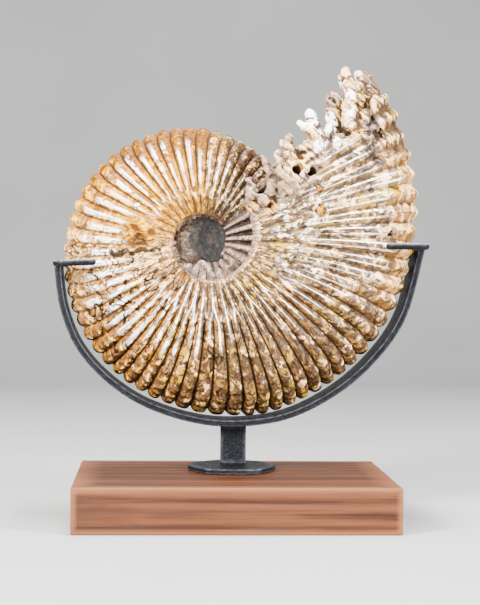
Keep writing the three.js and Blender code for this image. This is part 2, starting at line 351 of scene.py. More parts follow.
def shine_mask(rib, angle, distance):
    """Where highlights are painted on the polished crests, which catch the light."""
    from_inside = distance - zone("shine_inner", angle) + 0.05 * will(rib, 3)
    from_outside = distance - zone("shine_outer", angle) + 0.06 * will(rib, 0)
    shine = zone("shine", angle) * smooth_step(-0.03, 0.05, from_inside)
    return shine * smooth_step(0.03, -0.05, from_outside) * (0.85 + 0.3 * will(rib, 2))


def relief(rib, arc, distance, sign):
    """Depth of the surface under the section as a share of the radius, and the masks."""
    angle = rib_angle(rib)
    whorl = smooth_step(START_RIB - 1.0, START_RIB, rib)
    venter = smooth_step(0.42, 0.30, arc)
    inner = smooth_step(0.48, 0.36, distance) * whorl
    worn = bare(WORN, angle, distance, sign)
    scoured = bare(SCOURED, angle, distance, sign)

    wave = rib_wave(rib)
    inner_wave = rib_wave(rib * INNER_RIBS)
    knobs = smooth_step(0.04, -0.06, arc - zone("knob_reach", angle) + 0.05 * will(rib, 0))
    phase = (arc - FIRST_KNOB) / KNOB_SPACING + 0.18 * will(rib, 1)
    saddle = knobs * (0.5 - 0.5 * np.cos(2.0 * np.pi * phase))
    power = zone("power", angle)
    outer_groove = np.clip(wave * (1.0 + 0.22 * saddle), 0.0, 1.0) ** (power * 0.9 + 0.3)
    groove = outer_groove * (1.0 - inner) + inner_wave ** 1.8 * inner
    shaded = (wave * (1.0 - inner) + inner_wave * inner) ** (np.maximum(power, 2.4) + 0.8)

    gain = zone("flank_gain", angle) * (1.0 - venter) + zone("valley_gain", angle) * venter
    gain = gain + (1.0 - whorl) * (0.15 + 0.65 * smooth_step(-50.0, -15.0, angle))
    depth = valley_depth(arc) * gain * (1.0 - 0.9 * worn) * (1.0 - 0.75 * scoured)
    drop = zone("knob_height", angle) / 1000.0 * saddle * (0.8 + 0.3 * will(rib, 3))
    drop = drop + 0.003 * (0.5 + 0.5 * will(rib, 2)) * venter

    wall = smooth_step(0.238, 0.222, distance) * whorl
    shoulder = smooth_step(0.22, 0.25, distance) * whorl + 0.75 * (1.0 - whorl)
    shoulder = shoulder * (1.0 - 0.5 * smooth_step(0.2, 0.05, arc))
    cleft = (1.0 - 0.8 * worn) * (1.0 - 0.4 * scoured) * shoulder * zone("gully", angle)
    shine = shine_mask(rib, angle, distance) * (1.0 - worn) * (1.0 - 0.25 * scoured) * whorl
    # The groove, cleft and saddle masks also say where painted shade goes in the valleys and between the
    # knobs
    masks = {
        "groove": shaded * cleft, "cleft": cleft, "inner": inner,
        "across": rib, "along": sign * arc, "jitter": 0.12 * will(rib, 1),
        "saddle": saddle * (1.0 - groove), "shine": shine,
        "matrix": np.maximum(1.0 - whorl, wall * 0.7), "worn": worn, "scoured": scoured,
    }
    return depth * groove + drop * (1.0 - groove), masks


def zone_masks(angle, distance, sign):
    """Where the shell is amber, rose, speckled or lined, by the place on the coil."""
    turned = np.where(sign < 0, angle, angle + 18.0)
    band = 0.8 * smooth_step(0.245, 0.228, distance) * smooth_step(235.0, 290.0, angle)
    rim = smooth_step(0.80, 0.90, distance) * smooth_step(325.0, 350.0, angle)
    start_band = smooth_step(0.45, 0.28, distance) * smooth_step(100.0, 60.0, angle)
    masks = {name: zone(name, turned) for name in SHADER_ZONES}
    masks["rose"] = np.clip(masks["rose"] * (1.0 - 0.6 * rim) + band + 0.5 * start_band, 0.0, 1.0)
    masks["warm"] = masks["warm"] + 0.35 * rim
    masks["speck"] = masks["speck"] * (1.0 - 0.4 * band) * (1.0 - 0.3 * rim) + 0.2 * start_band
    masks["shine_width"] = masks["shine_width"] * (0.6 + 0.55 * smooth_step(0.4, 0.8, distance))
    masks["lined"] = masks["lined"] * (1.0 - band)

    amber_knobs = smooth_step(0.76, 0.86, distance) * bell(turned, 118.0, 42.0)
    tone = masks["tone"] * (1.0 - band) * (1.0 - 0.4 * rim) + 0.5 * start_band
    tone = np.clip(tone + 0.3 * amber_knobs, 0.0, 1.0)
    masks["deep_turn"] = (angle < ZONE_ANGLES[0]) * 1.0
    masks["tone"] = np.where(angle < ZONE_ANGLES[0], smooth_step(-35.0, 0.0, angle), tone)

    knob_glow = bell(turned, 112.0, 46.0) + 0.8 * bell(turned, 226.0, 20.0)
    seam_glow = bell(distance, 0.30, 0.09) * bell(turned, 145.0, 40.0)
    masks["blotch"] = smooth_step(0.66, 0.80, distance) * knob_glow + 0.9 * seam_glow
    # Stepped line of painted shadow under a low ledge
    stepped = angle + 1.1 * np.sign(np.sin(60.0 * distance))
    step_ends = smooth_step(0.28, 0.33, distance) * smooth_step(0.70, 0.64, distance)
    masks["step"] = bell(stepped, STEP_ANGLE, 2.2) * step_ends * (sign < 0)
    return masks


def coil_piece(name, from_rib, to_rib, columns, spacing):
    """A closed stretch of the whorl as a fine grid."""
    arc, distance, side, outward = whole_section(spacing)
    sign = np.where(side < 0, -1.0, 1.0)
    ribs = np.linspace(from_rib, to_rib, int((to_rib - from_rib) * columns) + 1)
    rib = np.repeat(ribs[:, None], len(arc), 1)
    arc = np.broadcast_to(arc, rib.shape)
    distance = np.broadcast_to(distance, rib.shape)
    cut, masks = relief(rib, arc, distance, sign[None])
    angle = rib_angle(rib)
    masks.update(zone_masks(angle, distance, sign[None]))
    angle = angle + lean(angle, distance)
    radius = coil_radius(angle)
    rough = coil_point(angle, radius * distance, radius * side)
    cut = cut + (0.35 * MM + 0.35 * MM * layered_noise(rough, 7 * MM, 11)) / radius
    cut = cut + (0.5 * MM * layered_noise(rough, 28 * MM, 21, 2) + 0.4 * MM) / radius
    rim = smooth_step(0.76, 0.86, distance) * smooth_step(325.0, 345.0, angle)
    cut = cut + rim * (0.9 * MM * layered_noise(rough, 5.5 * MM, 31, 2) + 0.5 * MM) / radius
    rings = coil_point(
        angle,
        radius * (distance - cut * outward[:, 0]),
        radius * (side - cut * outward[:, 1]),
    )
    points, faces = skin(rings)
    values = {key: np.append(np.broadcast_to(value, rib.shape).ravel(), [0, 0])
              for key, value in masks.items()}
    return make_piece(name, points, faces, values)


shell_pieces = [
    coil_piece("shell_inner_turn", FIRST_RIB, START_RIB + 0.2, 8, 0.02),
    coil_piece("shell_early_coil", START_RIB, MIDDLE_RIB, 14, 0.0105),
    coil_piece("shell_late_coil", MIDDLE_RIB, TORN_RIB, 14, 0.0105),
]


# The torn end, made from a field of distances that is negative inside the stone

def least(a, b, blend):
    """Smaller of two distances, rounded where they meet."""
    near = np.maximum(blend - np.abs(a - b), 0.0) / blend
    return np.minimum(a, b) - near * near * blend / 4.0


def most(a, b, blend):
    return -least(-a, -b, blend)


def surface_net(field, corner, pitch):
    """Points, quads and cells of the zero surface of a field sampled on a grid."""
    inside = field < 0
    shape = np.array(field.shape) - 1
    window = {c: tuple(slice(c[i], c[i] + shape[i]) for i in range(3))
              for c in product((0, 1), repeat=3)}
    filled = sum(inside[w].astype(np.int8) for w in window.values())
    mixed = (filled > 0) & (filled < 8)
    cells = np.argwhere(mixed)
    number = np.full(mixed.shape, -1, np.int32)
    number[mixed] = np.arange(len(cells))
    values = {c: field[w][mixed] for c, w in window.items()}
    total = np.zeros((len(cells), 3), np.float32)
    hits = np.zeros(len(cells), np.float32)
    for start, stop in product(window, repeat=2):
        if sum(stop) != sum(start) + 1 or any(b < a for a, b in zip(start, stop)):
            continue
        a, b = values[start], values[stop]
        crossed = (a < 0) != (b < 0)
        share = np.where(crossed, a / np.where(crossed, a - b, 1.0), 0.0)
        place = np.array(start) + share[:, None] * (np.array(stop) - np.array(start))
        total += place * crossed[:, None]
        hits += crossed
    points = corner + pitch * (cells + total / hits[:, None])
    quads = []
    for axis in range(3):
        u, v = (axis + 1) % 3, (axis + 2) % 3
        inner = [slice(1, -1)] * 3
        inner[axis] = slice(0, -1)
        upper = list(inner)
        upper[axis] = slice(1, None)
        low = inside[tuple(inner)]
        spots = np.argwhere(low != inside[tuple(upper)])
        out = low[tuple(spots.T)]
        for other in (u, v):
            spots[:, other] += 1
        step_u = np.eye(3, dtype=int)[u]
        step_v = np.eye(3, dtype=int)[v]
        around = [spots, spots - step_u, spots - step_u - step_v, spots - step_v]
        quad = np.stack([number[tuple(s.T)] for s in around], -1)
        quad = np.where(out[:, None], quad, quad[:, ::-1])
        quads.append(quad)
    return points, np.concatenate(quads), cells


# Spacing of the table's rows and columns, as a share of the spiral's radius
SECTION_STEP = 0.008
# Out to this distance, depth in the section's middle counts from the floor between the seams
FLOOR_REACH = 0.6


def section_distance_table():
    """Signed distance to the section, and the nearest arc length, by distance and side share."""
    curve = SECTION_CURVE
    tangent = unit(np.gradient(curve, axis=0))
    outward = np.stack([tangent[:, 1], -tangent[:, 0]], -1)
    if outward[0, 0] < 0:
        outward = -outward
    shares = np.arange(0.0, 1.16, SECTION_STEP), np.arange(0.0, 0.52, SECTION_STEP)
    distance, side = np.meshgrid(*shares, indexing="ij")
    gaps = np.stack([distance, side], -1)[:, :, None] - curve
    lengths = np.linalg.norm(gaps, axis=-1)
    nearest = lengths.argmin(-1)
    rows, columns = np.indices(nearest.shape)
    length = lengths[rows, columns, nearest]
    signed = np.sign(np.sum(gaps[rows, columns, nearest] * outward[nearest], -1)) * length
    depth = distance - curve[-1, 0]
    from_floor = np.where(depth > 0, -np.minimum(length, depth), -depth)
    signed = np.where((side < curve[-1, 1]) & (distance <= FLOOR_REACH), from_floor, signed)
    return signed.astype(np.float32), SECTION_ARC[nearest].astype(np.float32)


SECTION_SIGNED, SECTION_NEAREST = section_distance_table()


def read_table(table, distance, side):
    """Value between the rows and columns of a table of distance and side shares."""
    u = np.clip(distance / SECTION_STEP, 0, table.shape[0] - 1.001)
    v = np.clip(side / SECTION_STEP, 0, table.shape[1] - 1.001)
    i, j = u.astype(np.int32), v.astype(np.int32)
    u, v = u - i, v - j
    low = table[i, j] * (1 - v) + table[i, j + 1] * v
    high = table[i + 1, j] * (1 - v) + table[i + 1, j + 1] * v
    return low * (1 - u) + high * u


# Fingers of the torn end: a foot and a tip in millimetres, and the radius at each
FINGERS = [
    ((36, -26, 276), (22, -14, 300), 5.4, 1.8),
    ((42, -30, 280), (33, -21, 304), 5.4, 2.0),
    ((50, -32, 284), (44, -26, 304), 5.6, 4.4),
    ((44, -26, 304), (42, -24, 314), 4.6, 3.8),
    ((44, -26, 306), (37, -24, 310), 3.6, 2.8),
    ((72, -30, 296), (66, -28, 316), 7.0, 6.6),
    ((66, -28, 316), (59, -28, 335), 6.2, 3.6),
    ((64, -28, 318), (51, -29, 327), 4.8, 2.0),
    ((68, -30, 308), (54, -30, 308), 5.2, 2.6),
    ((66, -30, 302), (55, -31, 299), 4.4, 2.0),
    ((68, -28, 314), (76, -24, 324), 5.4, 5.0),
    ((84, -2, 316), (83, 6, 350), 6.4, 6.8),
    ((96, -22, 306), (93, -16, 344), 8.6, 6.0),
    ((93, -16, 344), (90, -13, 372), 5.6, 3.0),
    ((94, -15, 350), (86, -13, 367), 4.0, 2.2),
    ((112, 6, 322), (114, 18, 354), 13.5, 8.6),
    ((108, 16, 350), (106, 20, 373), 7.4, 3.6),
    ((111, 18, 351), (112, 22, 372), 8.4, 4.4),
    ((118, 12, 336), (123, 18, 353), 8.0, 3.6),
    ((104, -24, 306), (105, -18, 336), 8.0, 5.0),
    ((101, 0, 345), (100, 4, 363), 6.4, 3.2),
    ((114, 18, 347), (117, 22, 364), 6.6, 3.6),
    ((99, -12, 320), (100, 0, 350), 9.0, 6.6),
    ((12, -28, 270), (11, -24, 279), 6.0, 4.0),
    ((22, -30, 266), (28, -30, 276), 6.0, 4.4),
    ((34, 22, 274), (25, 22, 298), 6.0, 2.4),
    ((52, 26, 284), (48, 26, 313), 6.4, 3.0),
    ((76, 30, 302), (67, 30, 334), 7.4, 3.4),
    ((94, 42, 314), (88, 42, 350), 8.0, 4.2),
    ((34, 62, 272), (29, 57, 302), 6.4, 2.4),
    ((54, 74, 284), (50, 71, 316), 7.0, 3.2),
    ((54, 74, 304), (60, 74, 316), 4.6, 2.4),
    ((78, 76, 300), (69, 74, 338), 7.6, 3.2),
    ((98, 68, 316), (91, 65, 354), 8.4, 4.0),
    ((108, 56, 324), (100, 53, 366), 9.4, 4.2),
    ((116, 46, 336), (122, 42, 360), 8.0, 3.6),
]
# Hollows cut into it, in the same way
HOLLOWS = [
    ((49, -41, 293), (47, -27, 283), 5.0, 3.6),
    ((62, -41, 291), (60, -28, 284), 4.4, 3.2),
    ((69, -38, 290), (71, -36, 282), 2.6, 2.0),
    ((62, -38, 276), (64, -37, 272), 2.2, 1.8),
    ((36, -30, 296), (38, -28, 290), 2.2, 1.6),
    ((103, -34, 315), (116, -28, 296), 5.0, 3.2),
    ((94, -38, 306), (92, -34, 298), 3.6, 2.6),
    ((88, -36, 324), (91, -26, 318), 3.8, 2.6),
    ((98, -26, 332), (103, -30, 324), 2.6, 2.0),
    ((13, -32, 285), (19, -22, 276), 4.6, 3.2),
    ((22, -31, 273), (25, -24, 267), 4.2, 3.0),
    ((68, -38, 256), (69, -37, 254), 2.2, 1.8),
    ((32, -30, 251), (33, -29, 250), 2.0, 1.8),
    ((110, -6, 346), (113, -8, 338), 3.4, 2.4),
    ((116, -12, 326), (120, -14, 318), 2.8, 2.0),
    ((60, 84, 306), (62, 80, 294), 3.0, 2.0),
    ((84, 84, 326), (88, 78, 312), 3.4, 2.2),
    ((36, 76, 292), (40, 74, 284), 2.6, 2.0),
]
# Places on the front of the torn end with a colour of their own, and the shaded ones with painted shade in
# its recesses: x, z and radius in millimetres
END_SPOTS = {
    "bleached": [
        ((59, 335), 5.1), ((53, 327), 3.8), ((62, 327), 6.0), ((73, 322), 7.6), ((77, 312), 6.8),
        ((67, 308), 5.1), ((79, 332), 6.0), ((94, 352), 4.2), ((94, 338), 4.2), ((54, 295), 2.5),
    ],
    "honeyed": [
        ((88, 344), 3.0), ((85, 333), 3.0), ((58, 317), 3.8), ((99, 320), 6.0), ((95, 361), 3.4),
        ((52, 297), 5.1), ((101, 336), 5.1), ((13, 260), 5.1), ((28, 259), 6.0), ((138, 299), 4.2),
    ],
    "shaded": [
        ((79, 350), 6.8), ((111, 325), 6.0), ((104, 312), 3.0), ((110, 305), 4.2), ((115, 299), 3.4),
        ((93, 302), 3.4), ((89, 322), 3.0), ((62, 290), 3.8), ((49, 288), 3.8), ((15, 284), 6.0),
        ((23, 272), 3.4), ((72, 339), 3.0), ((40, 316), 4.2), ((77, 303), 3.0), ((9, 264), 3.4),
    ],
}
END_PITCH = 1.15 * MM
END_LOW = np.array((0.0, -42.0, 226.0)) * MM
END_HIGH = np.array((160.0, 94.0, 382.0)) * MM
# Angle where the stone ends between the fingers, by the distance from the axis
END_DISTANCES = (0.2, 0.42, 0.5, 0.57, 0.69, 0.82, 0.92, 0.98, 1.1)
END_ANGLES = (408.0, 406.0, 404.5, 402.5, 400.0, 399.5, 401.0, 398.5, 397.0)
# The back of the widest ribs is worn flat here
BACK_LIMIT = 92.6 * MM
# The flanks are torn back further than the middle of the wall, by up to so many degrees
FLANK_TEAR = 3.0
# Angle between the last ribs
LAST_RIB_STEP = math.radians(5.18)


def grid(low, high, pitch):
    """Axes and points of an even grid that fills a box."""
    axes = [np.arange(low[i], high[i], pitch) for i in range(3)]
    return axes, np.stack(np.meshgrid(*axes, indexing="ij"), -1).astype(np.float32)


def capsule(points, start, stop, start_radius, stop_radius):
    """Distance to a tapered round bar between two points."""
    start = np.array(start) * MM
    stop = np.array(stop) * MM
    along = stop - start
    share = np.clip((points - start) @ along / (along @ along), 0.0, 1.0)
    nearest = start + share[..., None] * along
    radius = (start_radius + (stop_radius - start_radius) * share) * MM
    return np.linalg.norm(points - nearest, axis=-1) - radius


def near_box(axes, ends, margin):
    """The part of a grid round some points."""
    ends = np.array(ends) * MM
    low, high = ends.min(0) - margin, ends.max(0) + margin
    return tuple(slice(np.searchsorted(axes[i], low[i]), np.searchsorted(axes[i], high[i]))
                 for i in range(3))


def blurred(field, passes):
    """The field with its small folds smoothed away."""
    for _ in range(passes):
        for axis in range(3):
            field = (np.roll(field, 1, axis) + 2.0 * field + np.roll(field, -1, axis)) / 4.0
    return field


def spot_mask(points, spots):
    """One inside round spots on the front of the stone, fading at their edges."""
    away = np.full(len(points), 9.0)
    for (x, z), radius in spots:
        gap = np.hypot(points[:, 0] - x * MM, points[:, 2] - z * MM)
        away = np.minimum(away, gap / (radius * MM))
    return smooth_step(1.6, 0.5, away) * smooth_step(34 * MM, 24 * MM, points[:, 1])


def place_on_coil(points):
    """Where each point lies on the coil, with lengths also as shares of the spiral's radius."""
    x = points[..., 0] - COIL_AXIS.x
    z = points[..., 2] - COIL_AXIS.z
    coil = SimpleNamespace(side=points[..., 1] - COIL_AXIS.y, reach=np.hypot(x, z))
    coil.angle = np.degrees(np.arctan2(z, x)) + 360.0
    coil.radius = coil_radius(coil.angle)
    coil.distance = coil.reach / coil.radius
    coil.side_share = np.abs(coil.side) / coil.radius
    upright = coil.angle - lean(coil.angle, coil.distance)
    coil.rib = rib_number(coil.angle - lean(upright, coil.distance))
    coil.across = np.stack([coil.reach, coil.side, 0.0 * coil.side], -1)
    return coil


def torn_wall(coil):
    """Distance to the last stretch of the whorl, broken off along a ragged line, and masks."""
    arc = read_table(SECTION_NEAREST, coil.distance, coil.side_share)
    cut, masks = relief(coil.rib, arc, coil.distance, np.sign(coil.side))
    body = read_table(SECTION_SIGNED, coil.distance, coil.side_share) + cut
    wander = 1.3 * noise(coil.across, 17 * MM, 41) + 0.7 * noise(coil.across, 9 * MM, 42)
    flank = smooth_step(0.16, 0.25, coil.side_share) * smooth_step(0.98, 0.86, coil.distance)
    end_angle = np.interp(coil.distance, END_DISTANCES, END_ANGLES) - FLANK_TEAR * flank
    end = np.radians(coil.angle - end_angle - 2.2 * wander) * coil.reach
    return most(body * coil.radius + 0.7 * MM, end, 3 * MM), masks


def add_fingers(stone, points, axes):
    for foot, tip, foot_radius, tip_radius in FINGERS:
        region = near_box(axes, (foot, tip), 20 * MM)
        wobble = [noise(points[region], 9 * MM, seed) for seed in (51, 52, 53)]
        bent = points[region] + 1.3 * MM * np.stack(wobble, -1)
        bar = capsule(bent, foot, tip, foot_radius, tip_radius)
        stone[region] = least(stone[region], bar, 2.4 * MM)


def cut_hollows(stone, points, axes):
    for start, stop, start_radius, stop_radius in HOLLOWS:
        region = near_box(axes, (start, stop), 12 * MM)
        bar = capsule(points[region], start, stop, start_radius, stop_radius)
        stone[region] = most(stone[region], -bar, 2 * MM)


def ragged_zone(coil):
    """One where the surface is torn into folds, and nothing where the ribs are whole."""
    inside = 6.0 * smooth_step(0.58, 0.46, coil.distance)
    outside = 9.0 * smooth_step(0.76, 0.88, coil.distance)
    angle = coil.angle + inside + outside - 4.0 * bell(coil.distance, 0.66, 0.12)
    return smooth_step(390.0, 396.0, angle + 2.0 * noise(coil.across, 12 * MM, 45))


def fray(stone, points, coil, ragged):
    """Gnarl the torn surface and cut thin gaps along it. Gives where the gaps are."""
    close = np.abs(stone) < 6 * MM
    spots = points[close]
    onward = 0.6 * np.radians(coil.angle) * coil.reach
    drawn_out = np.stack([onward, coil.reach, coil.side], -1)[close]
    gnarl = noise(drawn_out, 8.5 * MM, 61) + 0.4 * noise(spots, 4.4 * MM, 62)
    frill = np.abs(noise(drawn_out, 13.0 * MM, 63) + 0.7 * noise(spots, 8.0 * MM, 64))
    gaps = np.zeros(stone.shape, np.float32)
    gaps[close] = smooth_step(0.17, 0.03, frill)
    stone[close] += (gnarl + 1.7 * gaps[close] - 0.6) * ragged[close] * MM
    stone[close] += 0.35 * MM * layered_noise(spots, 7 * MM, 11)
    return gaps


def torn_end():
    axes, points = grid(END_LOW, END_HIGH, END_PITCH)
    coil = place_on_coil(points)
    stone, masks = torn_wall(coil)
    add_fingers(stone, points, axes)
    whole = stone.copy()
    cut_hollows(stone, points, axes)
    ragged = ragged_zone(coil)
    gaps = fray(stone, points, coil, ragged)
    start = (TORN_RIB - coil.rib) * LAST_RIB_STEP * coil.reach
    stone = np.maximum(stone, start)
    stone = np.maximum(stone, points[..., 1] - BACK_LIMIT)
    net, quads, cells = surface_net(stone, END_LOW, END_PITCH)

    at = tuple(cells.T)
    torn = ragged[at]
    values = {key: value[at] * (1.0 - torn) for key, value in masks.items()}
    for key in ("across", "along", "inner"):
        values[key] = masks[key][at]
    zones = zone_masks(coil.angle, coil.distance, np.sign(coil.side))
    values.update({key: value[at] for key, value in zones.items()})
    values["ragged"] = torn
    # How far the surface stands out of its folds, for painted light on ridges and painted shade in folds
    values["fold"] = np.clip(0.17 + 0.50 * blurred(stone, 9)[at] / MM, 0.0, 1.0)
    for key, spots in END_SPOTS.items():
        values[key] = spot_mask(net, spots)
    # Depth of the cut hollows and the gaps, for painted shade in them
    depth = (stone - whole)[at] / MM
    values["hollow"] = np.maximum(smooth_step(0.4, 3.0, depth), 0.8 * gaps[at] * torn)
    return make_piece("shell_torn_end", net, [quads], values)


shell_pieces.append(torn_end())


# Rock left in the umbilicus, made in the same way

ROCK_LUMPS = [
    ((-27.4, 27.0, 234.6), (26.4, 17.5, 23.2)),
    ((-40.0, 16.0, 230.0), (10.0, 10.0, 15.0)),
    ((-36.0, 14.0, 219.0), (9.0, 9.0, 8.0)),
    ((-9.0, 25.0, 234.5), (14.0, 13.0, 20.0)),
    ((-16.0, 16.0, 221.0), (15.0, 10.0, 10.0)),
    ((-38.0, 38.0, 232.0), (12.0, 10.0, 14.0)),
    ((-22.0, 38.0, 222.0), (13.0, 9.0, 10.0)),
]
ROCK_PITS = [
    ((-17.5, 6.0, 234.5), (14.0, 8.5, 20.0)),
    ((-20.0, 50.0, 236.0), (12.0, 8.0, 13.0)),
]
ROCK_LOW = np.array((-56.0, -2.0, 200.0)) * MM
ROCK_HIGH = np.array((9.0, 56.0, 264.0)) * MM
ROCK_PITCH = 0.9 * MM


def ellipsoid(points, centre, radii):
    """Rough distance to an ellipsoid."""
    away = (points - np.array(centre) * MM) / (np.array(radii) * MM)
    return (np.linalg.norm(away, axis=-1) - 1.0) * min(radii) * MM


def umbilicus_rock():
    points = grid(ROCK_LOW, ROCK_HIGH, ROCK_PITCH)[1]
    rock = ellipsoid(points, *ROCK_LUMPS[0])
    for centre, radii in ROCK_LUMPS[1:]:
        rock = least(rock, ellipsoid(points, centre, radii), 3 * MM)
    pits = np.minimum.reduce([ellipsoid(points, centre, radii) for centre, radii in ROCK_PITS])
    rock = most(rock, -pits, 1.5 * MM)
    rock += (0.3 + 0.9 * smooth_step(0.0, 2 * MM, pits)) * MM * layered_noise(points, 7 * MM, 71)
    net, quads, cells = surface_net(rock, ROCK_LOW, ROCK_PITCH)
    # One inside the pits, fading outside them, where the rock is coloured darker
    darker_in_pits = 1.0 - smooth_step(-1 * MM, 8 * MM, pits)
    return make_piece("umbilicus_rock", net, [quads], {"pit": darker_in_pits[tuple(cells.T)]})


rock_piece = umbilicus_rock()


# The stand

CORNER_STEPS = 4


def rounded_rectangle(width, height, radius, side_steps=8):
    """Outline of a rectangle with round corners, anticlockwise, and one where a corner is."""
    points = []
    corner = []
    centres = np.array([(1, -1), (1, 1), (-1, 1), (-1, -1)]) * (width / 2 - radius, height / 2 - radius)
    for turn, centre in enumerate(centres):
        directions = math.pi / 2 * (turn - 1 + np.linspace(0, 1, CORNER_STEPS + 1))
        arc = centre + radius * np.stack([np.cos(directions), np.sin(directions)], -1)
        ahead = centres[(turn + 1) % 4] - centre
        share = np.linspace(0, 1, side_steps + 1)[1:-1, None]
        points += [arc, arc[-1] + ahead * share]
        corner += [np.ones(len(arc)), np.zeros(len(share))]
    return np.concatenate(points), np.concatenate(corner)


def rounded_prism(name, outline, corner, low, high, radius, wear, cap_rings=3, seed=81):
    """Upright prism with round top and bottom edges and a slightly worn surface."""
    normals = outline_normals(outline)
    turns = np.linspace(0, math.pi / 2, 5)
    bottom = [(low + radius * (1 - math.cos(t)), radius * (1 - math.sin(t)), 1.0) for t in turns]
    top = [(high + low - z, inset, edge) for z, inset, edge in reversed(bottom)]
    sides = [(z, 0.0, 0.0) for z in np.linspace(low + radius, high - radius, 9)[1:-1]]
    rings = []
    edges = []
    for z, inset, edge in bottom + sides + top:
        ring = np.column_stack([outline - normals * inset, np.full(len(outline), z)])
        lift = wear * (0.5 + 0.5 * layered_noise(ring, 6 * MM, seed))
        ring[:, :2] -= normals * lift[:, None]
        rings.append(ring)
        edges.append(np.maximum(corner, edge))
    middle = np.array((*outline.mean(0), 0.0))
    shares = 1.0 - np.arange(1, cap_rings + 1) / (cap_rings + 0.5)
    scales = [np.array((share, share, 1.0)) for share in shares]
    bottom_cap = [middle + (rings[0] - middle) * scale for scale in reversed(scales)]
    top_cap = [middle + (rings[-1] - middle) * scale for scale in scales]
    points, faces = skin(np.array(bottom_cap + rings + top_cap))
    plain = [0.0 * corner] * cap_rings
    values = np.append(np.array(plain + edges + plain).ravel(), [0.0, 0.0])
    return make_piece(name, points, faces, {"edge": values})


def swept_bar(name, path, sideways, end_radius, section, wear, seed):
    """Bar along a path with round ends. The section gives its outline for an inset."""
    ahead = unit(np.gradient(path, axis=0))
    if sideways is None:
        sideways = unit(np.cross((0.0, 0.0, 1.0), ahead))
    sideways = np.broadcast_to(sideways, path.shape)
    other = np.cross(ahead, sideways)
    distance = travelled(path)
    gaps = np.maximum(end_radius - np.minimum(distance, distance[-1] - distance), 0.0)
    insets = end_radius - np.sqrt(np.maximum(end_radius ** 2 - gaps ** 2, 0.0))
    rings = []
    edges = []
    for i, inset in enumerate(insets):
        outline, edge = section(inset)
        ring = path[i] + outline[:, :1] * sideways[i] + outline[:, 1:] * other[i]
        shrink = wear * (0.5 + 0.5 * layered_noise(ring, 5 * MM, seed))
        inward = path[i] - ring
        inward /= np.maximum(np.linalg.norm(inward, axis=1, keepdims=True), 1e-9)
        rings.append(ring + inward * shrink[:, None])
        edges.append(edge)
    points, faces = skin(np.array(rings))
    return make_piece(name, points, faces, {"edge": np.append(np.array(edges).ravel(), [1, 1])})


def respaced(path, count, end):
    """The path with the given number of even steps, closer together near its two ends."""
    distance = travelled(path)
    length = distance[-1]
    near = end * (1.0 - np.cos(np.linspace(0, math.pi / 2, 5)))
    inner = np.linspace(end, length - end, count)[1:-1]
    places = np.concatenate([near, inner, (length - near)[::-1]])
    return np.stack([np.interp(places, distance, path[:, i]) for i in range(3)], -1)


# Outer face of the cradle's flat bar: a centre in millimetres, and from there the direction in
# degrees and the distance in millimetres
STRAP_CENTRE = np.array((5.6, 0.0, 231.0))
STRAP_THICKNESS = 5.5 * MM
STRAP_BEND = np.array([
    (188.25, 157.3), (201, 161.2), (214, 164), (228, 162.6), (243, 159.7), (262, 156.6),
    (282, 154.8), (300, 152.7), (318, 152.3), (336, 153.7), (358.0, 155.9),
])


def strap_piece():
    low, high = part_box("cradle_strap")
    width = high.y - low.y
    turn, reach = np.radians(STRAP_BEND[:, 0]), STRAP_BEND[:, 1]
    away = np.stack([reach * np.cos(turn), 0 * turn, reach * np.sin(turn)], -1)
    outer = smooth_curve((STRAP_CENTRE + away) * MM, 16)
    inward = np.cross(unit(np.gradient(outer, axis=0)), (0.0, 1.0, 0.0))
    if np.sum(inward[0] * (STRAP_CENTRE * MM - outer[0])) < 0:
        inward = -inward
    path = outer + inward * STRAP_THICKNESS / 2
    path[:, 1] = (low.y + high.y) / 2

    def section(inset):
        return rounded_rectangle(width - 2 * inset, STRAP_THICKNESS - 2 * inset, 0.9 * MM)

    path = respaced(path, 200, 1.0 * MM)
    return swept_bar("strap", path, (0.0, 1.0, 0.0), 1.0 * MM, section, 0.35 * MM, 91)


# Round bars across the strap's ends, with places and lengths in millimetres
FORK_RADIUS = 2.95 * MM
FORK_BEND = 7.0
FORK_TIP = 6.0
FORK_LEFT = {"x": -147.2, "z": 211.1, "rise": 1.4, "reach": 28.0, "inward": 1, "half_span": 44.4}
FORK_RIGHT = {"x": 157.4, "z": 227.8, "rise": 0.0, "reach": -29.0, "inward": -1, "half_span": 53.8}


def bend(start, corner, stop):
    """Points of a smooth bend from start to stop, inside a corner."""
    share = np.linspace(0, 1, 9)[:, None]
    return (1 - share) ** 2 * start + 2 * share * (1 - share) * corner + share ** 2 * stop


def prong(fork, middle_y, facing):
    """Line of one prong from the middle of the cross bar to its tip, in millimetres."""
    onward = np.array((fork["reach"], 0.0, fork["rise"]))
    corner = np.array((fork["x"], middle_y + facing * fork["half_span"], fork["z"]))
    start = corner - (0.0, facing * FORK_BEND, 0.0)
    tip = corner + onward
    hook = np.array((fork["inward"], -facing, 0.0)) * FORK_TIP * 0.7
    return np.concatenate([
        bend(start, corner, corner + unit(onward) * FORK_BEND),
        bend(tip - unit(onward) * 4.0, tip, tip + hook),
    ])


def fork_piece(name, fork):
    low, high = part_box("cradle_strap")
    middle_y = (low.y + high.y) / 2 / MM
    line = np.concatenate([prong(fork, middle_y, -1)[::-1], prong(fork, middle_y, 1)]) * MM

    def section(inset):
        turn = np.linspace(0, 2 * math.pi, 20, endpoint=False)
        circle = np.stack([np.cos(turn), np.sin(turn)], -1)
        # The edge mask rises to 2 along the top of the bar, which the material paints lighter as wear and
        # highlight
        return (FORK_RADIUS - inset) * circle, 2.0 * smooth_step(0.0, 0.9, np.sin(turn))

    path = respaced(line, 120, FORK_RADIUS)
    return swept_bar(name, path, None, FORK_RADIUS, section, 0.25 * MM, 95)


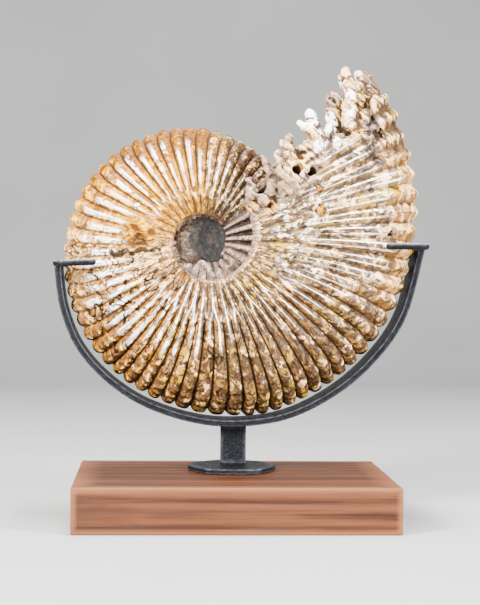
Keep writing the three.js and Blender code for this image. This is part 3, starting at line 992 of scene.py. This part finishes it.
def box_piece(name, node, corner_radius, edge_radius, wear, side_steps=8, **finish):
    """Rounded bar or block that fills the box of a node."""
    low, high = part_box(node)
    size = high - low
    outline, corner = rounded_rectangle(size.x, size.y, corner_radius, side_steps)
    outline = outline + ((low.x + high.x) / 2, (low.y + high.y) / 2)
    return rounded_prism(name, outline, corner, low.z, high.z, edge_radius, wear, **finish)


# Cut edge of the foot plate: direction in degrees and distance as a share of its radius
PLATE_CENTRE = np.array((0.2, 22.0)) * MM
PLATE_RADIUS = 37.0 * MM
PLATE_EDGE = np.array([
    (0, 1.02), (26, 0.97), (48, 1.0), (75, 0.95), (104, 1.0), (130, 0.95), (155, 1.02),
    (182, 1.02), (208, 0.95), (232, 1.03), (258, 0.97), (285, 1.0), (310, 1.02), (337, 0.95),
])


def plate_piece():
    low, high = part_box("foot_plate")
    turn = np.radians(PLATE_EDGE[:, 0])
    reach = PLATE_EDGE[:, 1] * PLATE_RADIUS
    corners = np.stack([reach * np.cos(turn), reach * np.sin(turn)], -1)
    share = np.linspace(0, 1, 10, endpoint=False)[:, None]
    outline = np.concatenate([start + (stop - start) * share
                              for start, stop in zip(corners, np.roll(corners, -1, axis=0))])
    outline = (np.roll(outline, 1, axis=0) + 2 * outline + np.roll(outline, -1, axis=0)) / 4
    return rounded_prism("hammered_plate", outline + PLATE_CENTRE, np.zeros(len(outline)),
                         low.z, high.z, 1.1 * MM, 0.9 * MM, cap_rings=8, seed=85)


iron_pieces = {
    "cradle_strap": strap_piece(),
    "fork_left": fork_piece("left_fork", FORK_LEFT),
    "fork_right": fork_piece("right_fork", FORK_RIGHT),
    "post": box_piece("post_bar", "post", 0.7 * MM, 0.5 * MM, 0.2 * MM),
    "foot_plate": plate_piece(),
}
wood_piece = box_piece("wood_block", "wood_base", 1.6 * MM, 1.4 * MM, 0.25 * MM, side_steps=60,
                       cap_rings=6, seed=87)


# Materials

class Signal:
    """A number that a node gives out. Sums with it become nodes of the same material."""

    def __init__(self, recipe, output):
        self.recipe = recipe
        self.output = output

    def __add__(self, other):
        return self.recipe.math("ADD", self, other)

    def __sub__(self, other):
        return self.recipe.math("SUBTRACT", self, other)

    def __rsub__(self, other):
        return self.recipe.math("SUBTRACT", other, self)

    def __mul__(self, other):
        return self.recipe.math("MULTIPLY", self, other)

    def __truediv__(self, other):
        return self.recipe.math("DIVIDE", self, other)

    def __abs__(self):
        return self.recipe.math("ABSOLUTE", self)


class Recipe:
    """A material under construction, with a short call for each kind of node."""

    def __init__(self, name):
        self.material = bpy.data.materials.new(name)
        self.material.use_nodes = True
        self.tree = self.material.node_tree
        self.tree.nodes.clear()
        self.place = self.node("ShaderNodeTexCoord").outputs["Object"]

    def feed(self, target, value):
        """Link an output to an input, or set the input's own value."""
        if isinstance(value, Signal):
            value = value.output
        if isinstance(value, bpy.types.NodeSocket):
            self.tree.links.new(value, target)
        elif isinstance(value, tuple) and target.type == "RGBA":
            target.default_value = (*value, 1.0)
        else:
            target.default_value = value

    def node(self, kind, inputs=None, **settings):
        made = self.tree.nodes.new(kind)
        for key, value in settings.items():
            setattr(made, key, value)
        for key, value in (inputs or {}).items():
            self.feed(made.inputs[key], value)
        return made

    def math(self, operation, *values):
        made = self.node("ShaderNodeMath", dict(enumerate(values)), operation=operation)
        return Signal(self, made.outputs[0])

    def mask(self, name):
        made = self.node("ShaderNodeAttribute", attribute_name=name)
        return Signal(self, made.outputs["Fac"])

    def stretched(self, scale, place=None, shift=(0.0, 0.0, 0.0)):
        made = self.node("ShaderNodeMapping", {
            "Vector": place or self.place, "Location": shift, "Scale": scale,
        })
        return made.outputs["Vector"]

    def noise(self, scale, detail=4.0, rough=0.55, bend=0.0, place=None):
        made = self.node("ShaderNodeTexNoise", {
            "Vector": place or self.place, "Scale": scale, "Detail": detail,
            "Roughness": rough, "Distortion": bend,
        })
        return Signal(self, made.outputs["Fac"])

    def between(self, value, low, high, from_value=0.0, to_value=1.0):
        made = self.node("ShaderNodeMapRange", {
            "Value": value, "From Min": low, "From Max": high,
            "To Min": from_value, "To Max": to_value,
        }, interpolation_type="SMOOTHSTEP")
        return Signal(self, made.outputs["Result"])

    def across_rib(self, rib):
        """From -1 to 1 between two valleys, with 0 on the crest."""
        return self.math("FRACT", rib + 64.5) * 2.0 - 1.0

    def blend(self, share, a, b):
        return self.math("MULTIPLY_ADD", share, b - a, a)

    def spread(self, value, share):
        """Noise spread out so that about the given share of the surface is over 1."""
        made = self.node("ShaderNodeMapRange", {"Value": value, "From Min": 0.36, "From Max": 0.64})
        return Signal(self, made.outputs["Result"]) + share

    def cover(self, value, share, edge):
        """About the given share of the surface, picked out by noise."""
        return self.between(self.spread(value, share), 1.0 - edge, 1.0 + edge)

    def ramp(self, value, *stops):
        made = self.node("ShaderNodeValToRGB", {"Fac": value})
        elements = made.color_ramp.elements
        while len(elements) < len(stops):
            elements.new(0.5)
        for element, (position, colour) in zip(elements, stops):
            element.position = position
            element.color = (*colour, 1.0)
        return made.outputs["Color"]

    def mix(self, share, a, b):
        made = self.node("ShaderNodeMix", {0: share}, data_type="RGBA")
        self.feed(made.inputs[6], a)
        self.feed(made.inputs[7], b)
        return made.outputs[2]

    def darken(self, share, colour, least):
        """The colour taken down evenly to the eye, to a small part of itself where share is 1."""
        return self.node("ShaderNodeVectorMath", {
            0: colour, "Scale": self.math("POWER", least, share),
        }, operation="SCALE").outputs["Vector"]

    def spot(self, centre, size):
        """One inside a ragged round spot on the front face."""
        made = self.node("ShaderNodeVectorMath", {
            0: self.stretched((1.0, 0.0, 1.0)), 1: (centre[0] * MM, 0.0, centre[1] * MM),
        }, operation="DISTANCE")
        gap = Signal(self, made.outputs["Value"]) + (self.noise(320, 3) - 0.5) * 0.010
        depth = self.node("ShaderNodeSeparateXYZ", {"Vector": self.place}).outputs["Y"]
        return self.between(gap, size * 1.1 * MM, size * 0.8 * MM) * self.between(depth, 0.010, 0.0)

    def finish(self, colour, roughness, height=None, distance=0.001, strength=1.0, **fixed):
        shader = self.node("ShaderNodeBsdfPrincipled", {
            "Base Color": colour, "Roughness": roughness, **fixed,
        })
        if height is not None:
            bump = self.node("ShaderNodeBump", {
                "Height": height, "Distance": distance, "Strength": strength,
            })
            self.feed(shader.inputs["Normal"], bump.outputs["Normal"])
        output = self.node("ShaderNodeOutputMaterial")
        self.feed(output.inputs["Surface"], shader.outputs["BSDF"])
        return self.material


# Colours of the stone, from dark to pale, each with its place along the noise
BROWN_SAND = [(0.40, (0.110, 0.052, 0.012)), (0.50, (0.15, 0.086, 0.030)), (0.60, (0.38, 0.240, 0.020))]
AMBER = [(0.40, (0.095, 0.029, 0.0)), (0.50, (0.165, 0.058, 0.0)), (0.60, (0.30, 0.125, 0.0))]
ORANGE = [(0.42, (0.060, 0.017, 0.0)), (0.50, (0.140, 0.046, 0.0)), (0.58, (0.30, 0.125, 0.0))]
HONEY = [
    (0.43, (0.060, 0.018, 0.0)), (0.50, (0.16, 0.056, 0.0)), (0.57, (0.34, 0.145, 0.0)),
    (0.65, (0.62, 0.320, 0.0)),
]
SCOURED_STONE = [
    (0.40, (0.009, 0.008, 0.006)), (0.45, (0.040, 0.033, 0.020)), (0.49, (0.15, 0.105, 0.030)),
    (0.53, (0.44, 0.27, 0.050)), (0.565, (0.95, 0.85, 0.76)),
]
BROWN = [
    (0.44, (0.008, 0.005, 0.0035)), (0.49, (0.034, 0.020, 0.013)), (0.54, (0.090, 0.055, 0.034)),
    (0.60, (0.24, 0.145, 0.088)),
]
MAUVE = [
    (0.44, (0.008, 0.006, 0.0055)), (0.49, (0.033, 0.024, 0.021)), (0.54, (0.088, 0.064, 0.057)),
    (0.60, (0.24, 0.175, 0.155)),
]
DULL_STONE = [
    (0.42, (0.014, 0.0090, 0.0068)), (0.49, (0.066, 0.041, 0.030)), (0.54, (0.15, 0.098, 0.072)),
    (0.60, (0.42, 0.28, 0.215)),
]
# The same for the torn end, by how far the surface stands out of its folds: painted light on the ridges
# and painted shade in the folds
TORN_STONE = [
    (0.22, (0.016, 0.0100, 0.0070)), (0.38, (0.058, 0.037, 0.028)), (0.54, (0.115, 0.071, 0.052)),
    (0.72, (0.29, 0.175, 0.098)), (0.97, (0.74, 0.52, 0.35)),
]
TORN_OCHRE = [
    (0.22, (0.034, 0.019, 0.009)), (0.38, (0.14, 0.072, 0.020)), (0.54, (0.32, 0.180, 0.040)),
    (0.88, (0.80, 0.55, 0.29)),
]
# Tints of those places, each also painted lighter on ridges and darker in folds; the shaded tint is
# painted shade
END_TINTS = {
    "bleached": [(0.28, (0.090, 0.055, 0.040)), (0.40, (0.50, 0.36, 0.28)), (0.52, (0.98, 0.94, 0.91))],
    "honeyed": [(0.30, (0.040, 0.016, 0.004)), (0.46, (0.21, 0.080, 0.008)), (0.66, (0.62, 0.34, 0.09))],
    "shaded": [(0.34, (0.009, 0.006, 0.005)), (0.50, (0.036, 0.024, 0.019)), (0.70, (0.15, 0.105, 0.085))],
}
# Small pits and blots on the front of the shell: x and z, radius in millimetres, and colour
SHELL_PITS = [
    ((127.5, 237.8), 1.5, (0.004, 0.003, 0.003)),
    ((68.3, 256.3), 3.4, (0.36, 0.145, 0.003)),
    ((66.6, 274.2), 2.4, (0.24, 0.072, 0.004)),
    ((-82.1, 259.6), 2.2, (0.90, 0.78, 0.66)),
]


def shell_noises(r):
    """Noises and masks that several layers of the shell share. The flow follows the ribs."""
    rib = r.mask("across")
    flow = r.node("ShaderNodeCombineXYZ", {"X": rib, "Y": r.mask("along") * 10.0}).outputs["Vector"]
    crest = r.across_rib(rib)
    return SimpleNamespace(
        flow=flow,
        crest=crest,
        place=r.blend(r.mask("inner"), crest, r.across_rib(rib * INNER_RIBS)),
        wobble=(r.noise(3.2, 3, 0.5, 0.0, flow) - 0.5) * 0.5,
        broad=r.noise(26, 4, 0.55, 0.5),
        pebble=r.noise(120, 8, 0.74, 0.6),
        fleck=r.noise(250, 6, 0.72, 0.3),
        grain=r.noise(420, 5, 0.7),
        mottle=r.noise(1.2, 3, 0.55, 0.8, flow),
        stain=r.noise(3.2, 8, 0.78, 0.5, flow),
        groove=r.mask("groove"),
        tone=r.mask("tone"),
        warm=r.mask("warm"),
    )


def flowing_stone(r, s):
    """Cream, sand and amber stone, with orange on the knobs and along the seam."""
    light = r.mix(s.warm, (0.80, 0.475, 0.185), (0.58, 0.270, 0.0))
    light = r.mix(r.mask("rose") * 0.8, light, (0.86, 0.58, 0.40))
    middle = r.mix(s.warm, r.ramp(s.broad, *BROWN_SAND), r.ramp(s.broad, *AMBER))
    colour = r.mix(r.cover(s.mottle, s.tone * r.blend(s.warm, 1.0, 0.9), 0.15), light, middle)
    glow = r.cover(r.noise(1.9, 4, 0.6, 0.8, s.flow), r.mask("blotch") * 0.72, 0.06)
    colour = r.mix(glow * 0.95, colour, r.ramp(s.stain, *ORANGE))
    scoured = r.ramp(r.noise(150, 5, 0.66, 0.9), *SCOURED_STONE)
    colour = r.mix(r.mask("scoured") * 0.85, colour, scoured)
    return r.mix(r.mask("worn"), colour, r.ramp(s.mottle, *HONEY))


def brown_patches(r, s, colour):
    """Brown and mauve patches with dark outlines, and the mask of the patches."""
    cells = r.spread(r.noise(1.5, 2, 0.5, 1.1, s.flow), r.mask("speck") * 0.74)
    cells = cells + (s.pebble - 0.5) * 1.2
    blotches = r.blend(0.5, s.fleck, s.stain)
    brown = r.mix(r.mask("rose"), r.ramp(blotches, *BROWN), r.ramp(blotches, *MAUVE))
    patch = r.between(cells, 0.92, 1.04)
    colour = r.mix(patch * r.blend(s.warm, 0.95, 0.6), colour, brown)
    outline = r.between(abs(cells - 0.96), 0.10, 0.03)
    return r.darken(outline * r.mask("lined"), colour, 0.06), patch


def painted_rib_shade(r, s, colour):
    """Painted shade on one side of each rib, painted shade in the valleys between ribs and along their
    floors.
    """
    lee_shade = r.between(s.place, 0.1, -0.6) * r.between(s.stain, 0.38, 0.54) * (1.0 - r.mask("worn"))
    shade = r.ramp(s.mottle, (0.42, (0.060, 0.034, 0.020)), (0.56, (0.20, 0.105, 0.030)))
    shade = r.mix(s.warm, shade, (0.17, 0.058, 0.0))
    colour = r.mix(lee_shade * r.blend(s.warm, 0.6, 0.9), colour, shade)
    # Painted shade deep in the valleys
    valley_shade = r.mix(s.warm, (0.040, 0.025, 0.018), (0.085, 0.023, 0.001))
    valley_shade = r.mix(s.tone, valley_shade, (0.024, 0.015, 0.010))
    deep = s.groove + (s.stain - 0.5) * 1.2
    colour = r.mix(r.between(deep, 0.42, 0.80) * 0.9, colour, valley_shade)
    # Painted shade along the floor of each valley
    valley_floor_shade = r.between(abs(s.place) + s.wobble * 0.6, 0.78, 0.9) * r.mask("cleft")
    return r.mix(valley_floor_shade * 0.8, colour, (0.011, 0.0065, 0.004)), valley_shade


def dark_specks(r, s, colour, valley_shade, patch):
    """Dark specks, denser on the patches, and painted shade between the knobs, with the specks' mask."""
    share = r.mask("speck") * r.blend(patch, 0.45, 0.72)
    specks = r.cover(s.fleck, share + s.groove * 0.10, 0.07)
    dark = r.ramp(s.grain, (0.4, (0.008, 0.005, 0.0035)), (0.6, (0.026, 0.016, 0.010)))
    colour = r.mix(specks * 0.85, colour, r.mix(s.warm, dark, (0.040, 0.012, 0.001)))
    # Painted shade in the saddles between the knobs
    saddle = r.mask("saddle") * r.between(s.tone, 0.0, 0.6, 0.3, 0.8)
    return r.mix(saddle * r.between(s.mottle, 0.4, 0.55), colour, valley_shade), specks


def painted_highlight_streaks(r, s, specks):
    """Mask of the broken painted highlights beside the crests of the ribs."""
    beside = s.place + r.mask("jitter") + s.wobble * 0.25
    ahead = abs(beside - r.mask("shine_ahead"))
    behind = abs(beside + r.mask("shine_behind"))
    off_crest = r.math("MINIMUM", ahead, behind) / r.mask("shine_width")
    painted_highlight = r.between(off_crest + (s.grain - 0.5) * 1.6, 1.25, 0.75)
    breaks = r.between(r.noise(62, 5, 0.65, 0.3), 0.40, 0.46) * (specks * -0.55 + 1.0)
    breaks = r.math("MAXIMUM", breaks * r.between(s.stain, 0.37, 0.45), r.mask("steady"))
    long_flow = r.stretched((1.0, 0.09, 1.0), s.flow)
    strands = r.between(r.noise(6.5, 2, 0.5, 0.0, long_flow), 0.42, 0.52, 0.30, 1.0)
    return painted_highlight * r.mask("shine") * strands * breaks


def suture_lines(r, s):
    """Mask of the thin winding lines, and of the stepped line of painted shadow under a ledge that runs
    outwards.
    """
    winding = r.noise(0.8, 1, 0.4, 1.1, s.flow)
    line = r.between(abs(winding - 0.5), 0.036, 0.014)
    line = line * r.mask("lined") * r.between(r.noise(34, 2, 0.5), 0.42, 0.47)
    ledge = r.between(r.mask("step") + (s.pebble - 0.5) * 3.0, 0.36, 0.75)
    return r.math("MAXIMUM", line, ledge * 0.9)


def small_pits(r, s, colour):
    for centre, size, tint in SHELL_PITS:
        colour = r.darken(r.spot(centre, size * 1.35), colour, 0.012)
        pit = r.spot(centre, size) * r.between(s.pebble, 0.40, 0.52, 0.25, 1.0)
        colour = r.mix(pit, colour, tint)
    return colour


def umbilicus_stone(r, s):
    """Dull stone of the umbilicus wall and the inner turn, with painted shade in the furrows between ribs
    and in the grooves.
    """
    deep_turn = r.mask("deep_turn")
    furrow = abs(s.crest) + (s.pebble - 0.5) * 1.6
    crest = r.between(furrow, 0.40, 0.15) * r.between(s.stain, 0.42, 0.56) * deep_turn
    colour = r.ramp(s.pebble, *DULL_STONE)
    colour = r.mix(crest * r.blend(s.tone, 0.12, 0.75), colour, (0.46, 0.31, 0.25))
    # Painted shade in the furrows
    recess_shade = r.between(furrow + s.tone * 0.40, 0.78, 1.0) * deep_turn
    recess_shade = recess_shade * r.blend(s.tone, r.between(s.broad, 0.44, 0.56), 1.0)
    colour = r.darken(recess_shade, colour, 0.07)
    # Painted shade in the grooves
    return r.mix(r.between(s.groove, 0.4, 0.8, 0.0, 0.8), colour, (0.012, 0.0075, 0.0055))


def torn_stone(r, s, colour, inner):
    """Painted shade in the folds and painted light on the ridges of the torn end, its tinted places, and
    painted shade in its hollows and gaps.
    """
    lit = r.mask("fold") + (s.stain - 0.5) * 1.3
    end = r.mix(r.between(s.broad, 0.47, 0.53), r.ramp(lit, *TORN_STONE), r.ramp(lit, *TORN_OCHRE))
    end = r.mix(r.mask("inner") * 0.8, end, inner)
    colour = r.mix(r.mask("ragged") * 0.92, colour, end)
    uneven = (r.blend(0.5, s.pebble, s.stain) - 0.5) * 5.0
    for name, tint in END_TINTS.items():
        place = r.mask(name)
        spots = r.between(place + uneven, 0.35, 0.75) * r.between(place, 0.0, 0.4) * 0.82
        colour = r.mix(spots, colour, r.ramp(lit, *tint))
    # Painted shade in the hollows and gaps
    return r.mix(r.mask("hollow") * 0.92, colour, (0.016, 0.0070, 0.0030))


def shell_material():
    r = Recipe("fossil_shell")
    s = shell_noises(r)
    colour = flowing_stone(r, s)
    colour, patch = brown_patches(r, s, colour)
    colour, valley_shade = painted_rib_shade(r, s, colour)
    colour, specks = dark_specks(r, s, colour, valley_shade, patch)
    painted_highlight = painted_highlight_streaks(r, s, specks)
    # Painted highlights along the crests, with a clear coat over them
    colour = r.mix(painted_highlight, colour, (0.98, 0.94, 0.90))
    line = suture_lines(r, s)
    colour = small_pits(r, s, r.darken(line, colour, 0.05))
    inner = umbilicus_stone(r, s)
    colour = r.mix(r.mask("matrix") * 0.95, colour, inner)
    colour = torn_stone(r, s, colour, inner)
    roughness = r.between(s.groove + s.grain, 0.3, 1.3, 0.22, 0.6)
    height = s.grain * 0.5 + s.mottle * 0.8 - line * 0.6
    return r.finish(colour, roughness, height, 0.0009, 0.7, **{
        "Specular IOR Level": 0.07, "Coat Weight": painted_highlight, "Coat Roughness": 0.12,
    })


def rock_material():
    r = Recipe("umbilicus_rock")
    lumps = r.noise(95, 9, 0.8, 0.5)
    grain = r.noise(600, 4, 0.7)
    speckle = r.blend(0.6, lumps, r.noise(330, 6, 0.75))
    colour = r.ramp(speckle, (0.42, (0.0050, 0.0036, 0.0026)), (0.48, (0.021, 0.0135, 0.0085)),
                    (0.52, (0.051, 0.032, 0.019)), (0.58, (0.165, 0.105, 0.062)))
    dark = r.ramp(speckle, (0.42, (0.0012, 0.0009, 0.0008)), (0.5, (0.0044, 0.0034, 0.0030)),
                  (0.58, (0.021, 0.0165, 0.0145)))
    # Darker inside the pits
    pit = r.mask("pit") + (r.blend(0.5, speckle, r.noise(110, 3, 0.6)) - 0.5) * 3.6
    colour = r.mix(r.between(pit, 0.35, 0.85), colour, dark)
    roughness = r.between(grain, 0.4, 0.6, 0.8, 0.5)
    return r.finish(colour, roughness, lumps + grain * 0.3, 0.002, 0.9,
                    **{"Specular IOR Level": 0.2})


def iron_material():
    r = Recipe("blackened_iron")
    crust = r.noise(420, 5, 0.7)
    patches = r.noise(60, 4, 0.6)
    edge = r.mask("edge")
    colour = r.ramp(crust, (0.35, (0.0014, 0.0015, 0.0021)), (0.6, (0.0034, 0.0037, 0.0050)),
                    (0.78, (0.018, 0.019, 0.024)))
    grit = r.node("ShaderNodeTexVoronoi", {"Vector": r.place, "Scale": 900}).outputs["Distance"]
    specks = r.between(grit, 0.28, 0.12) * r.between(patches, 0.35, 0.6)
    colour = r.mix(specks * 0.6, colour, (0.07, 0.072, 0.082))
    # Lighter along the edges: worn metal, and a painted sheen where the edges catch the light
    worn = edge * r.between(r.noise(260, 4, 0.6), 0.30, 0.70, 0.1, 0.6)
    colour = r.mix(worn, colour, (0.045, 0.046, 0.054))
    # Lighter along the top of the round bars: rubbed metal and a painted highlight
    top_wear_and_highlight = r.between(edge, 1.0, 2.0) * r.between(crust, 0.40, 0.52)
    colour = r.mix(top_wear_and_highlight, colour, (0.15, 0.152, 0.172))
    roughness = r.between(crust, 0.3, 0.7, 0.34, 0.62)
    return r.finish(colour, roughness, crust + patches * 1.5, 0.0004, 0.7,
                    **{"Metallic": 0.25, "Specular IOR Level": 0.08})


def wood_material():
    r = Recipe("stained_wood")
    rings = r.node("ShaderNodeTexWave", {
        "Vector": r.stretched((0.05, 1.0, 1.0), shift=(0.0, 0.09, 0.16)), "Scale": 32.0,
        "Distortion": 5.0, "Detail": 4.0, "Detail Scale": 1.6, "Detail Roughness": 0.6,
    }, wave_type="RINGS", rings_direction="X").outputs["Fac"]
    streaks = r.noise(260, 6, 0.62, 0.0, r.stretched((0.03, 1.0, 1.0)))
    broad = r.noise(26, 4, 0.55, 0.4, r.stretched((0.12, 1.0, 1.0)))
    pores = r.between(r.noise(900, 3, 0.6, 0.0, r.stretched((0.02, 1.0, 1.0))), 0.60, 0.72)
    colour = r.ramp(rings, (0.0, (0.018, 0.0048, 0.0014)), (0.55, (0.040, 0.0112, 0.0030)),
                    (1.0, (0.064, 0.0190, 0.0055)))
    colour = r.mix(r.between(streaks, 0.42, 0.62, 0.0, 0.6), colour, (0.074, 0.0232, 0.0070))
    colour = r.mix(r.between(broad, 0.52, 0.38, 0.0, 0.6), colour, (0.022, 0.0066, 0.0022))
    colour = r.mix(pores * 0.55, colour, (0.012, 0.0040, 0.0016))
    # Painted highlight along the rounded edges
    colour = r.mix(r.mask("edge") * 0.6, colour, (0.15, 0.0560, 0.0210))
    roughness = r.between(streaks, 0.3, 0.7, 0.42, 0.62)
    return r.finish(colour, roughness, streaks - pores * 0.8, 0.0004, 0.5,
                    **{"Specular IOR Level": 0.16})


def dress(piece, material, slot, *nodes):
    piece.data.materials.append(material)
    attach(piece, "root")
    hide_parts(*nodes)


SHELL_MATERIAL = shell_material()
for piece in shell_pieces:
    dress(piece, SHELL_MATERIAL, "fossil_shell", "ammonite")
dress(rock_piece, rock_material(), "fossil_shell", "ammonite")
IRON_MATERIAL = iron_material()
for node_name, piece in iron_pieces.items():
    dress(piece, IRON_MATERIAL, "blackened_iron", node_name)
dress(wood_piece, wood_material(), "wood", "wood_base")


# Floor, light and camera

FLOOR_FRONT = -3.0
FLOOR_BACK = 1.6
FLOOR_HALF_WIDTH = 6.0
WALL_BEND = 1.2
WALL_TOP = 4.0
MIDDLE = (0.0, 0.0, 0.2)
CAMERA_PLACE = Vector((-63.8, -1281.2, 201.2)) * MM
CAMERA_YAW = math.radians(3.072)
CAMERA_PITCH = math.radians(0.949)
CAMERA_ROLL = math.radians(0.542)


def make_stage():
    """Pale floor that curves up into a wall behind the object."""
    profile = [(FLOOR_FRONT, 0.0)]
    for turn in np.linspace(0, math.pi / 2, 13):
        profile.append((FLOOR_BACK + WALL_BEND * math.sin(turn), WALL_BEND * (1 - math.cos(turn))))
    profile.append((FLOOR_BACK + WALL_BEND, WALL_TOP))
    points = [(x, y, z) for y, z in profile for x in (-FLOOR_HALF_WIDTH, FLOOR_HALF_WIDTH)]
    index = np.arange(len(points)).reshape(-1, 2)
    quads = np.stack([index[:-1, 0], index[:-1, 1], index[1:, 1], index[1:, 0]], -1)
    floor = make_piece("floor", np.array(points), [quads])
    r = Recipe("pale_floor")
    tone = r.ramp(r.noise(3, 3), (0.3, (0.24, 0.24, 0.237)), (0.7, (0.265, 0.265, 0.262)))
    floor.data.materials.append(r.finish(tone, 0.75))


def add_light(name, place, size, power, colour=(1.0, 1.0, 1.0)):
    """Soft light aimed at the middle of the object."""
    light = bpy.data.lights.new(name, "AREA")
    light.shape = "RECTANGLE"
    light.size, light.size_y = size
    light.energy = power
    light.color = colour
    holder = bpy.data.objects.new(name, light)
    bpy.context.scene.collection.objects.link(holder)
    holder.location = place
    holder.rotation_euler = (Vector(MIDDLE) - Vector(place)).to_track_quat("-Z", "Y").to_euler()


def make_lights():
    add_light("softbox_left", (-1.2, -1.1, 1.0), (0.35, 0.7), 238.0, (1.0, 0.98, 0.95))
    add_light("softbox_front", (-0.35, -1.35, 0.62), (0.3, 0.3), 44.0)
    add_light("softbox_right", (1.3, -0.9, 0.6), (0.25, 0.9), 184.0, (0.97, 0.98, 1.0))
    add_light("softbox_top", (0.1, 0.1, 1.7), (0.8, 0.4), 95.0)
    world = bpy.data.worlds.new("studio")
    world.use_nodes = True
    background = world.node_tree.nodes["Background"]
    background.inputs["Color"].default_value = (0.86, 0.88, 0.9, 1.0)
    background.inputs["Strength"].default_value = 0.38
    bpy.context.scene.world = world


def make_camera():
    data = bpy.data.cameras.new("camera")
    data.lens = 91.5
    data.sensor_width = 36.0
    camera = bpy.data.objects.new("camera", data)
    bpy.context.scene.collection.objects.link(camera)
    yaw = Matrix.Rotation(-CAMERA_YAW, 4, "Z")
    pitch = Matrix.Rotation(math.pi / 2 - CAMERA_PITCH, 4, "X")
    roll = Matrix.Rotation(CAMERA_ROLL, 4, "Z")
    camera.matrix_world = Matrix.Translation(CAMERA_PLACE) @ yaw @ pitch @ roll
    bpy.context.scene.camera = camera


make_stage()
make_lights()
make_camera()

bpy.context.view_layer.update()
